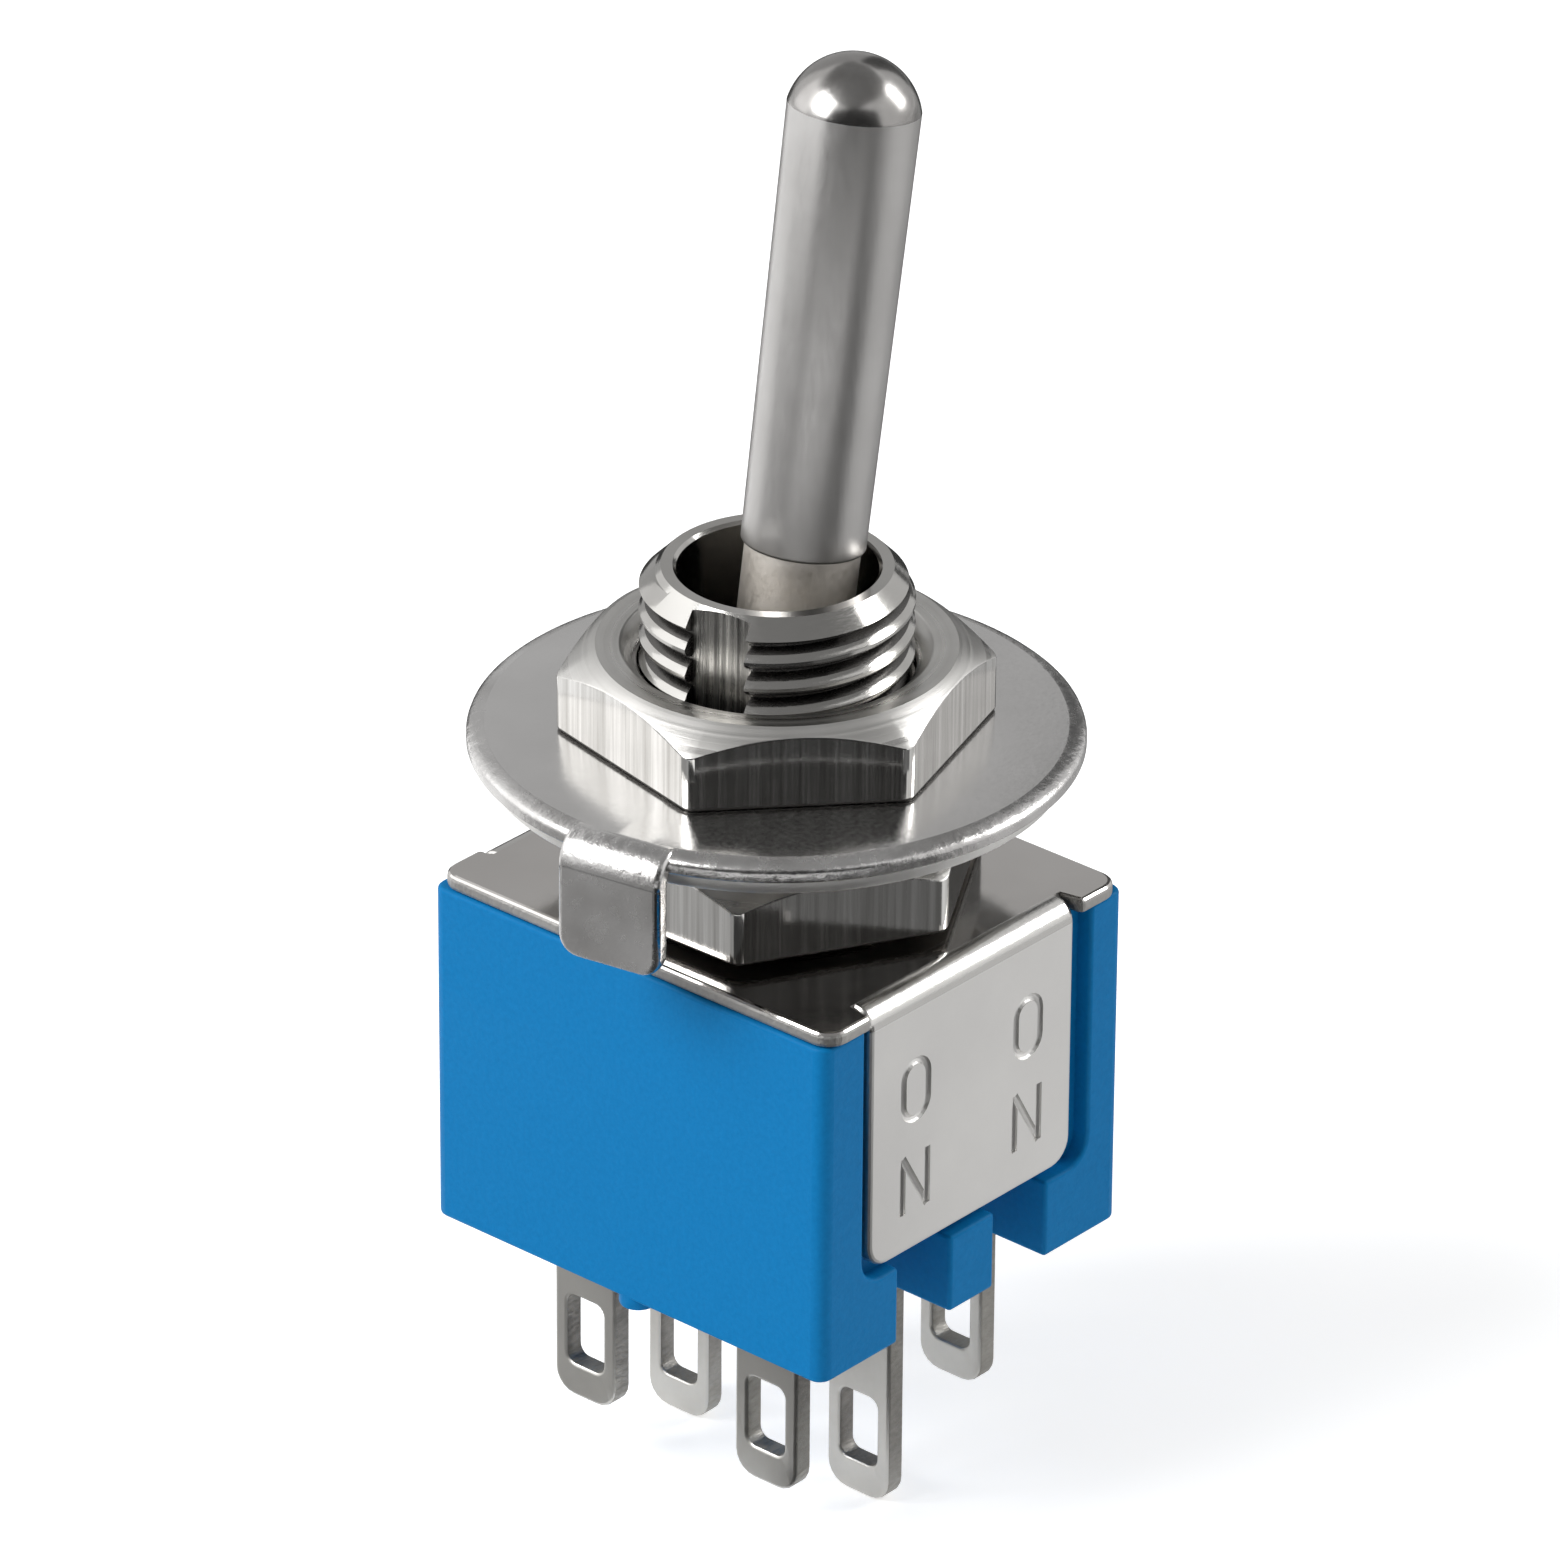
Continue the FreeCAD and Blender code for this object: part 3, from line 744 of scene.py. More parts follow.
@dataclass(frozen=True)
class PlatedMetal:
    """Plated metal with a grain that may run along one direction."""

    name: str
    light: Colour
    dark: Colour
    roughness: tuple[float, float]
    grain: Point
    grain_depth: float
    cloud: Point = (0.35, 0.35, 0.35)
    cloud_contrast: float = 1.0
    grain_contrast: float = 1.0
    scratch_depth: float = 0.0

    def material(self) -> bpy.types.Material:
        """Node material of this finish.

        Returns:
            The material.
        """
        nodes = Nodes(self.name)
        cloud = nodes.noise(self.cloud, detail=3.0)
        grain = nodes.noise(self.grain, detail=6.0, rough=0.6)
        tone = nodes.ranged(cloud, 0.0, 1.0, self.cloud_contrast)
        normal = nodes.bump(grain, self.grain_depth)
        if self.scratch_depth:
            wear = nodes.noise((0.8, 0.8, 0.8), detail=8.0, rough=0.7)
            normal = nodes.bump(wear, self.scratch_depth, before=normal)
        return nodes.dress({
            "Metallic": 1.0,
            "Base Color": nodes.blend(tone, self.dark, self.light),
            "Roughness": nodes.ranged(grain, *self.roughness, self.grain_contrast),
            "Normal": normal})


@dataclass(frozen=True)
class TurnedMetal:
    """Metal faced on a lathe, with rings about the bushing axis."""

    name: str
    light: Colour
    dark: Colour
    roughness: tuple[float, float]
    rings_per_mm: float
    ring_depth: float

    def material(self) -> bpy.types.Material:
        """Node material of this finish.

        Returns:
            The material.
        """
        nodes = Nodes(self.name)
        reach = nodes.add("ShaderNodeVectorMath", operation="LENGTH")
        nodes.link(nodes.mapped((1.0, 1.0, 0.0)), reach.inputs[0])
        rings = nodes.add("ShaderNodeTexNoise", noise_dimensions="1D", detail=5.0,
                          scale=self.rings_per_mm)
        nodes.link(reach.outputs["Value"], rings.inputs["W"])
        tone = nodes.ranged(nodes.noise((0.7, 0.7, 0.7), detail=4.0), 0.0, 1.0)
        return nodes.dress({
            "Metallic": 1.0,
            "Base Color": nodes.blend(tone, self.dark, self.light),
            "Roughness": nodes.ranged(rings.outputs["Fac"], *self.roughness),
            "Normal": nodes.bump(rings.outputs["Fac"], self.ring_depth)})


@dataclass(frozen=True)
class MouldedPlastic:
    """Matte moulded plastic with a fine spark-eroded grain."""

    name: str
    light: Colour
    dark: Colour
    roughness: tuple[float, float]
    grain_per_mm: float
    grain_depth: float
    specular: float = 0.2

    def material(self) -> bpy.types.Material:
        """Node material of this finish.

        Returns:
            The material.
        """
        nodes = Nodes(self.name)
        grain = nodes.noise((self.grain_per_mm,) * 3, detail=3.0, rough=0.6)
        cloud = nodes.noise((0.25, 0.25, 0.25), detail=3.0)
        speckle = nodes.ranged(grain, 0.0, 1.0)
        return nodes.dress({
            "Specular IOR Level": self.specular,
            "Base Color": nodes.blend(speckle, self.dark, self.light),
            "Roughness": nodes.ranged(cloud, *self.roughness),
            "Normal": nodes.bump(grain, self.grain_depth)})


class Finishes:
    """All materials of the switch, made once."""

    def __init__(self) -> None:
        """Make every material."""
        self.blue = MouldedPlastic("blue_moulding", (0.004, 0.19, 0.47),
                                   (0.002, 0.165, 0.42), (0.42, 0.52), 9.0, 0.006,
                                   0.08).material()
        self.inner = MouldedPlastic("pale_moulding", (0.72, 0.69, 0.62),
                                    (0.6, 0.57, 0.5), (0.45, 0.6), 6.0, 0.006).material()
        self.cover = PlatedMetal("bright_sheet", (0.64, 0.62, 0.6), (0.56, 0.54, 0.52),
                                 (0.07, 0.14), (3.0, 3.0, 3.0), 0.0006).material()
        self.flap = PlatedMetal("satin_sheet", (0.8, 0.79, 0.77), (0.73, 0.72, 0.705),
                                (0.38, 0.46), (9.0, 9.0, 9.0), 0.0012).material()
        self.bend = PlatedMetal("stretched_sheet", (0.66, 0.65, 0.63), (0.58, 0.57, 0.55),
                                (0.14, 0.24), (7.0, 7.0, 7.0), 0.0035).material()
        self.sheared = PlatedMetal("sheared_sheet", (0.6, 0.59, 0.57), (0.32, 0.31, 0.3),
                                   (0.35, 0.6), (12.0, 12.0, 7.0), 0.02,
                                   grain_contrast=1.6).material()
        self.bushing = PlatedMetal("threaded_nickel", (0.56, 0.55, 0.53), (0.4, 0.39, 0.37),
                                   (0.08, 0.18), (6.0, 6.0, 30.0), 0.0015).material()
        # Painted shade: near-black metal for the thread's roots and the nuts' feet, where
        # shade falls.
        self.painted_shade = PlatedMetal("painted_shade_metal", (0.14, 0.135, 0.13), (0.06, 0.058, 0.055),
                                  (0.2, 0.35), (6.0, 6.0, 30.0), 0.002).material()
        self.keyway = PlatedMetal("broached_nickel", (0.4, 0.39, 0.37), (0.07, 0.068, 0.065),
                                  (0.2, 0.4), (26.0, 26.0, 0.5), 0.006,
                                  cloud=(9.0, 9.0, 0.2), cloud_contrast=1.6,
                                  grain_contrast=1.4).material()
        self.lever = PlatedMetal("satin_nickel", (0.54, 0.53, 0.52), (0.46, 0.45, 0.44),
                                 (0.3, 0.4), (14.0, 14.0, 2.0), 0.0016,
                                 cloud=(0.6, 0.6, 0.6)).material()
        self.dome = PlatedMetal("polished_nickel", (0.42, 0.41, 0.4), (0.3, 0.29, 0.28),
                                (0.16, 0.28), (3.0, 3.0, 3.0), 0.0016,
                                cloud=(1.2, 1.2, 1.2)).material()
        self.ball = PlatedMetal("dull_nickel", (0.86, 0.82, 0.77), (0.76, 0.72, 0.66),
                                (0.4, 0.55), (9.0, 9.0, 9.0), 0.003).material()
        self.nut_side = PlatedMetal("drawn_nickel", (0.84, 0.83, 0.81), (0.5, 0.49, 0.47),
                                    (0.07, 0.17), (16.0, 16.0, 0.3), 0.0008,
                                    cloud=(7.0, 7.0, 0.15), cloud_contrast=1.3,
                                    grain_contrast=1.3).material()
        self.nut_top = TurnedMetal("faced_nickel", (0.66, 0.65, 0.63), (0.54, 0.53, 0.51),
                                   (0.24, 0.4), 9.0, 0.004).material()
        self.washer = PlatedMetal("tumbled_nickel", (0.72, 0.71, 0.7), (0.62, 0.61, 0.6),
                                  (0.14, 0.26), (11.0, 11.0, 11.0), 0.002,
                                  scratch_depth=0.003).material()
        self.rolled = PlatedMetal("tumbled_edge", (0.78, 0.77, 0.76), (0.36, 0.35, 0.34),
                                  (0.16, 0.32), (4.0, 4.0, 4.0), 0.02).material()
        self.toothed = PlatedMetal("tumbled_spring_steel", (0.86, 0.85, 0.83),
                                   (0.66, 0.65, 0.63), (0.4, 0.55), (6.0, 6.0, 6.0),
                                   0.008).material()
        self.lug = PlatedMetal("tin_plate", (0.56, 0.55, 0.52), (0.44, 0.43, 0.41),
                               (0.36, 0.48), (7.0, 7.0, 7.0), 0.004).material()
        self.lug_edge = PlatedMetal("sheared_tin", (0.42, 0.41, 0.38), (0.18, 0.17, 0.16),
                                    (0.4, 0.65), (5.0, 12.0, 12.0), 0.02,
                                    grain_contrast=1.8).material()
        self.pin = PlatedMetal("drawn_pin", (0.6, 0.6, 0.58), (0.45, 0.45, 0.43),
                               (0.25, 0.35), (9.0, 0.8, 9.0), 0.002).material()
        self.contact = PlatedMetal("silvered_brass", (0.8, 0.75, 0.62), (0.66, 0.6, 0.46),
                                   (0.25, 0.4), (7.0, 7.0, 7.0), 0.002).material()
        self.spring = PlatedMetal("spring_wire", (0.55, 0.55, 0.54), (0.4, 0.4, 0.39),
                                  (0.22, 0.32), (12.0, 12.0, 12.0), 0.001).material()


@dataclass
class Case:
    """Blue moulded case on two legs and a rib, recessed for the cover's flaps."""

    half_length: float = 4.07
    half_width: float = 4.62
    offset: float = CASE_OFFSET
    top: float = -0.3
    bottom: float = -7.0
    corner: float = 0.27
    cavity_half_length: float = 3.15
    cavity_half_width: float = 3.4
    floor_top: float = -4.7
    floor_underside: float = -5.22
    rib_half_width: float = 0.6
    leg_width: float = 2.06
    recess_left: float = -2.97
    recess_right: float = 3.15
    recess_face: float = 4.3
    recess_bottom: float = -5.46
    recess_corner: float = 0.5
    divider_half_width: float = 0.35
    divider_height: float = 1.05
    divider_overlap: float = 0.2
    lead_depth: float = 0.14
    slot_overrun: float = 0.5
    pip_radius: float = 0.35
    pip_height: float = 0.22
    pip_edge: float = 0.06
    pip_steps: int = 32
    edge: float = 0.09

    def recess(self, row: Row) -> Blank:
        """Space of a cover flap in the front or rear face.

        Args:
            row: Front or rear.

        Returns:
            The tool.
        """
        space = Blank.block(
            (self.recess_left, self.recess_face * row.value, self.recess_bottom),
            (self.recess_right, (self.half_width + BEYOND) * row.value, self.top + BEYOND))
        lower = space.edges_along(Axis.Y, lambda point: point.z < self.top)
        return space.round_edges(lower, self.recess_corner)

    def lead(self, row: Row) -> Blank:
        """Slanted lead at a recess's upper edge, which clears the inside of the bend.

        Args:
            row: Front or rear.

        Returns:
            The tool.
        """
        depth = self.lead_depth
        left, right = self.recess_left + HAIR, self.recess_right - HAIR
        inner, outer = (row.value * (self.recess_face + step) for step in (-depth, depth))
        outline = [(left, inner, self.top), (left, inner, self.top + depth),
                   (left, outer, self.top + depth), (left, outer, self.top - 2 * depth)]
        return Blank.slab(outline, (right - left, 0.0, 0.0))

    def notch(self, side: Side) -> Blank:
        """Channel across the underside between the rib and a leg.

        Args:
            side: Left or right of the rib.

        Returns:
            The tool.
        """
        far = self.half_length - self.leg_width
        return Blank.block(
            (side.value * self.rib_half_width, -self.half_width - BEYOND,
             self.bottom - BEYOND),
            (side.value * far, self.half_width + BEYOND, self.floor_underside))

    def lug_slots(self) -> list[Blank]:
        """Slots that the lugs fill through the legs, the rib and the floor.

        Returns:
            One tool for each lug.
        """
        slots = []
        for row in Row:
            for side in Side:
                lug = SolderLug(row, side)
                slots.append(Blank.block(
                    (lug.x - lug.half_sheet, lug.y - lug.half_width, self.bottom - BEYOND),
                    (lug.x + lug.half_sheet, lug.y + lug.half_width,
                     self.floor_top + self.slot_overrun)))
        return slots

    def build(self, finishes: Finishes) -> None:
        """Make the case and place it.

        Args:
            finishes: All materials of the switch.
        """
        case = Blank.block((-self.half_length, -self.half_width, self.bottom),
                           (self.half_length, self.half_width, self.top))
        case.round_edges(case.edges_along(Axis.Z), self.corner)
        cavity = Blank.block(
            (-self.cavity_half_length, -self.cavity_half_width, self.floor_top),
            (self.cavity_half_length, self.cavity_half_width, self.top + BEYOND))
        case.remove(cavity, *(self.recess(row) for row in Row))
        case.remove(self.notch(Side.LEFT), self.notch(Side.RIGHT))
        divider = self.cavity_half_length + self.divider_overlap
        case.add(Blank.block(
            (-divider, -self.divider_half_width, self.floor_top - self.divider_overlap),
            (divider, self.divider_half_width, self.floor_top + self.divider_height)))
        case.soften(self.edge, segments=3)
        case.remove(*(self.lead(row) for row in Row))
        for side in (Side.LEFT, Side.RIGHT):
            x = side.value * (self.half_length - self.pip_radius)
            pip = Blank.rod(self.pip_radius, self.bottom - self.pip_height,
                            self.bottom + BEYOND, (x, 0.0), self.pip_steps)
            case.add(pip.soften(self.pip_edge))
        case.remove(*self.lug_slots()).move(x=self.offset)
        case.place("case_moulding", SWITCH_BODY, "blue_plastic", "case", [finishes.blue])


@dataclass
class Cover:
    """Folded sheet cover: a top plate with two flaps, the front one marked."""

    half_length: float = 3.94
    front_reach: float = 4.72
    rear_reach: float = 4.52
    sheet: float = 0.3
    corner: float = 0.42
    flap_half_width: float = 2.75
    flap_face: float = 4.62
    flap_bottom: float = -5.24
    flap_corner: float = 0.5
    flap_root: float = 0.5
    flap_taper: Point = (0.96, 1.0, 0.6)
    inside_bend: float = 0.12
    relief: float = 0.08
    hole: float = 2.43
    edge: float = 0.09
    letter_half_width: float = 0.33
    letter_half_height: float = 0.57
    letter_offset: float = 1.52
    letter_pitch: float = 1.85
    letters_middle: float = -2.96
    groove_radius: float = 0.08
    groove_lift: float = 0.01
    groove_steps: int = 12
    side_facing: float = 0.8
    top_facing: float = 0.5
    hole_clear: float = 2.53

    @property
    def outside_bend(self) -> float:
        """Outer radius of a flap's bend."""
        return self.inside_bend + self.sheet

    @property
    def bend_start(self) -> float:
        """Distance from the bushing's axis at which a flap's bend starts."""
        return self.flap_face - self.outside_bend

    def flap(self, row: Row) -> Blank:
        """Flap with its bend, bent down and drawn to its length.

        Args:
            row: Front or rear.

        Returns:
            The flap.
        """
        half, y = self.flap_half_width, -self.bend_start + self.flap_root
        flap = Blank.bent_strip(
            [(-half, y, 0.0), (half, y, 0.0), (half, y, -self.sheet), (-half, y, -self.sheet)],
            (0.0, -self.flap_root, 0.0), self.flap_taper,
            (0.0, -self.bend_start, -self.outside_bend), Axis.X,
            self.flap_bottom + self.outside_bend)
        lower = flap.edges_along(Axis.Y, lambda point: point.z < self.flap_bottom + HAIR)
        flap.round_edges(lower, self.flap_corner).soften(self.edge, segments=3)
        if row is Row.REAR:
            flap.turn(math.pi)
        return flap

    def letter_o(self, x: float, z: float) -> Blank:
        """Groove tool of an O, taller than wide.

        Args:
            x: Middle of the letter along X.
            z: Middle of the letter along Z.

        Returns:
            The tool.
        """
        straight = self.letter_half_height - self.letter_half_width
        y = -self.flap_face - self.groove_lift
        points = []
        for middle, start in ((straight, 0.0), (-straight, math.pi)):
            for step in range(self.groove_steps + 1):
                angle = start + math.pi * step / self.groove_steps
                points.append((x + self.letter_half_width * math.cos(angle), y,
                               z + middle + self.letter_half_width * math.sin(angle)))
        return Blank.wire(points, self.groove_radius, True)

    def letter_n(self, x: float, z: float) -> list[Blank]:
        """Groove tools of an N.

        Args:
            x: Middle of the letter along X.
            z: Middle of the letter along Z.

        Returns:
            One tool for each stroke.
        """
        y = -self.flap_face - self.groove_lift
        left, right = x - self.letter_half_width, x + self.letter_half_width
        low, high = z - self.letter_half_height, z + self.letter_half_height
        strokes = [((left, low), (left, high)), ((right, low), (right, high)),
                   ((left, high), (right, low))]
        return [Blank.wire([(a[0], y, a[1]), (b[0], y, b[1])], self.groove_radius, False)
                for a, b in strokes]

    def build(self, finishes: Finishes) -> None:
        """Make the cover and place it.

        Args:
            finishes: All materials of the switch.
        """
        cover = Blank.block((-self.half_length, -self.front_reach, -self.sheet),
                            (self.half_length, self.rear_reach, 0.0))
        cover.round_edges(cover.edges_along(Axis.Z), self.corner)
        gap = self.flap_half_width + self.relief
        for row in Row:
            cover.remove(Blank.block(
                (-gap, row.value * self.bend_start, -BEYOND),
                (gap, row.value * (self.front_reach + BEYOND), BEYOND)))

        def at_flap(edge: bmesh.types.BMEdge) -> bool:
            """Whether a flap grows out of the plate at this edge.

            Args:
                edge: The edge.

            Returns:
                True where it stays sharp.
            """
            middle = middle_of(edge)
            return (abs(middle.x) < gap - self.edge
                    and abs(abs(middle.y) - self.bend_start) < HAIR)

        cover.soften(self.edge, segments=3, spared=at_flap)
        for row in Row:
            cover.add(self.flap(row))
        cover.remove(Blank.rod(self.hole, -BEYOND, BEYOND))
        for x in (-self.letter_offset, self.letter_offset):
            upper = self.letters_middle + self.letter_pitch / 2
            cover.remove(self.letter_o(x, upper))
            cover.remove(*self.letter_n(x, upper - self.letter_pitch))

        def finish_of(face: bmesh.types.BMFace) -> int:
            """Number of the bright, the satin, the stretched or the sheared finish.

            Args:
                face: The face.

            Returns:
                Its material's number.
            """
            middle = face.calc_center_median()
            if abs(face.normal.x) > self.side_facing and abs(middle.x) > self.hole_clear:
                return 3
            if middle.z < -self.outside_bend:
                return 1
            if abs(middle.y) > self.bend_start and abs(middle.x) < self.flap_half_width:
                return 2
            return 0 if abs(face.normal.z) > self.top_facing else 3

        cover.place("folded_cover", SWITCH_BODY, "cover_metal", "cover_frame",
                    [finishes.cover, finishes.flap, finishes.bend, finishes.sheared],
                    finish_of, smooth_below=12.0)


@dataclass
class Bushing:
    """Threaded bushing with a keyway, a stepped bore and a flange under the cover."""

    crest: float = 2.43
    root: float = 2.15
    crest_round: float = 0.04
    pitch: float = 0.5
    top: float = 6.12
    top_chamfer: float = 0.38
    bore: float = 1.78
    lip: float = 0.06
    bore_floor: float = 0.4
    throat: float = 1.3
    flange: float = 3.0
    flange_top: float = -0.3
    flange_bottom: float = -0.8
    thread_start: float = 0.05
    neck_overlap: float = 0.02
    flank_shares: tuple[float, ...] = (0.0, 0.1, 0.27, 0.4, 0.48, 0.6, 0.68, 0.83, 1.0)
    keyway_floor: float = 2.08
    keyway_half_width: float = 0.58
    keyway_angle: float = 193.5
    pin_radius: float = 0.4
    pin_reach: float = 5.0
    steps: int = 96
    plane_play: float = 1e-6
    spare_turns: int = 3
    lead_in: float = 1.5
    floor_facing: float = 0.9

    def thread(self) -> Blank:
        """Rod with a helical thread and flat ends.

        Returns:
            The rod.
        """
        turns = math.ceil((self.top - self.thread_start) / self.pitch) + self.spare_turns
        begin = self.thread_start - self.lead_in * self.pitch
        mesh = bmesh.new()
        shy = self.crest - self.crest_round
        flank = (self.crest + self.root) / 2 + self.crest_round
        radii = (self.root, self.root, flank, shy, self.crest, self.crest, shy, flank,
                 self.root)
        points = [mesh.verts.new((radius, 0.0, begin + share * self.pitch))
                  for radius, share in zip(radii, self.flank_shares)]
        runs = [mesh.edges.new(pair) for pair in zip(points, points[1:])]
        bmesh.ops.spin(mesh, geom=points + runs, cent=(0, 0, 0), axis=(0, 0, 1),
                       angle=2 * math.pi * turns, steps=self.steps * turns,
                       dvec=(0, 0, self.pitch / self.steps))
        bmesh.ops.remove_doubles(mesh, verts=mesh.verts, dist=MERGED_BELOW)
        for height, side in ((self.thread_start, -1), (self.top, 1)):
            bmesh.ops.bisect_plane(mesh, geom=[*mesh.verts, *mesh.edges, *mesh.faces],
                                   plane_co=(0, 0, height), plane_no=(0, 0, side),
                                   clear_outer=True, dist=self.plane_play)
            rim = [edge for edge in mesh.edges if edge.is_boundary
                   and all(abs(vert.co.z - height) < MERGED_BELOW for vert in edge.verts)]
            bmesh.ops.contextual_create(mesh, geom=rim)
        return Blank(mesh).tidied()

    def envelope(self) -> Blank:
        """Outside of the finished bushing, which the thread is turned down to.

        Returns:
            The hood.
        """
        shoulder = self.crest + BEYOND
        slope = self.top_chamfer + BEYOND
        return Blank.turned([(0.0, -BEYOND), (shoulder, -BEYOND),
                             (shoulder, self.top - slope),
                             (self.crest - self.top_chamfer, self.top), (0.0, self.top)])

    def hollow(self) -> Blank:
        """Stepped bore with a broken upper edge.

        Returns:
            The tool.
        """
        foot = self.flange_bottom - BEYOND
        return Blank.turned([(0.0, foot), (self.throat, foot), (self.throat, self.bore_floor),
                             (self.bore, self.bore_floor), (self.bore, self.top - self.lip),
                             (self.bore + self.lip * 2, self.top + self.lip),
                             (0.0, self.top + self.lip)])

    def build(self, finishes: Finishes) -> None:
        """Make the bushing and place it.

        Args:
            finishes: All materials of the switch.
        """
        bushing = self.thread().keep(self.envelope())
        neck_top = self.thread_start + self.neck_overlap
        bushing.add(Blank.turned([(0.0, self.flange_bottom), (self.flange, self.flange_bottom),
                                  (self.flange, self.flange_top),
                                  (self.crest, self.flange_top), (self.crest, neck_top),
                                  (0.0, neck_top)]))
        keyway = Blank.block(
            (self.keyway_floor, -self.keyway_half_width, self.flange_top),
            (self.crest + BEYOND, self.keyway_half_width, self.top + BEYOND))
        keyway.turn(math.radians(self.keyway_angle))
        hole = Blank.rod(self.pin_radius, -self.pin_reach, self.pin_reach,
                         steps=SMALL_STEPS)
        hole.turn(math.pi / 2, Axis.X).move(z=PIVOT.z)
        bushing.remove(self.hollow(), keyway, hole)
        outward = Matrix.Rotation(math.radians(self.keyway_angle), 3, "Z") @ Axis.X.vector
        mid_depth = (self.crest + self.root) / 2

        def finish_of(face: bmesh.types.BMFace) -> int:
            """Number of the plated or the broached finish, or of the painted shade in the
            thread's roots.

            Args:
                face: The face.

            Returns:
                Its material's number.
            """
            middle = face.calc_center_median()
            floor = abs(middle.dot(outward) - self.keyway_floor) < HAIR
            if floor and face.normal.dot(outward) > self.floor_facing:
                return 1
            # Faces at the bottom of the thread's groove get the painted shade.
            in_thread = self.thread_start < middle.z < self.top - self.top_chamfer
            low = min(vert.co.to_2d().length for vert in face.verts)
            return 2 if in_thread and self.root - HAIR < low < mid_depth else 0

        bushing.place("threaded_bushing", SWITCH_BODY, "bushing_metal", "bushing",
                      [finishes.bushing, finishes.keyway, finishes.painted_shade], finish_of)


@dataclass
class Lever:
    """Round bat lever with a domed end, a ball on the pin and a shank."""

    tip_radius: float = 1.18
    foot_radius: float = 1.11
    dome_height: float = 0.94
    shoulder: float = 14.4
    foot: float = 6.33
    foot_edge: float = 0.06
    foot_edge_start: float = -60.0
    neck: float = 1.03
    ball: float = 1.53
    shank: float = 0.65
    shank_bottom: float = -2.0
    eye: float = 0.43
    eye_reach: float = 4.0
    ball_steps: int = 24
    edge_steps: int = 4
    dome_steps: int = 28

    def profile(self) -> list[tuple[float, float]]:
        """Half section from the shank's end to the dome's tip.

        Returns:
            The points as (radius, height).
        """
        neck_angle = math.degrees(math.acos(self.neck / self.ball))
        shank_angle = -math.degrees(math.acos(self.shank / self.ball))
        sphere = (self.tip_radius ** 2 + self.dome_height ** 2) / (2 * self.dome_height)
        middle = self.shoulder + self.dome_height - sphere
        dome_start = math.degrees(math.asin((self.shoulder - middle) / sphere))
        edge = self.foot_edge
        points = [(0.0, self.shank_bottom), (self.shank, self.shank_bottom)]
        points += arc((0.0, PIVOT.z), self.ball, shank_angle, neck_angle, self.ball_steps)
        points += [(self.neck, self.foot), (self.foot_radius - edge, self.foot)]
        points += arc((self.foot_radius - edge, self.foot + edge), edge,
                      self.foot_edge_start, 0.0, self.edge_steps)
        points += arc((0.0, middle), sphere, dome_start, 90.0, self.dome_steps)
        return points

    def build(self, finishes: Finishes) -> None:
        """Make the lever, lean it as it rests and place it.

        Args:
            finishes: All materials of the switch.
        """
        lever = Blank.turned(self.profile())
        eye = Blank.rod(self.eye, -self.eye_reach, self.eye_reach, steps=SMALL_STEPS)
        lever.remove(eye.turn(math.pi / 2, Axis.X).move(z=PIVOT.z))
        lever.turn(LEVER_TILT, Axis.Y, PIVOT)

        def finish_of(face: bmesh.types.BMFace) -> int:
            """Number of the satin, the polished or the ball's dull finish.

            Args:
                face: The face.

            Returns:
                Its material's number.
            """
            reach = (face.calc_center_median() - PIVOT).dot(LEVER_AXIS) + PIVOT.z
            if reach < self.foot - HAIR:
                return 2
            return 1 if reach > self.shoulder else 0

        lever.place("bat_lever", LEVER_BODY, "lever_metal", "lever",
                    [finishes.lever, finishes.dome, finishes.ball], finish_of,
                    smooth_below=22.0)


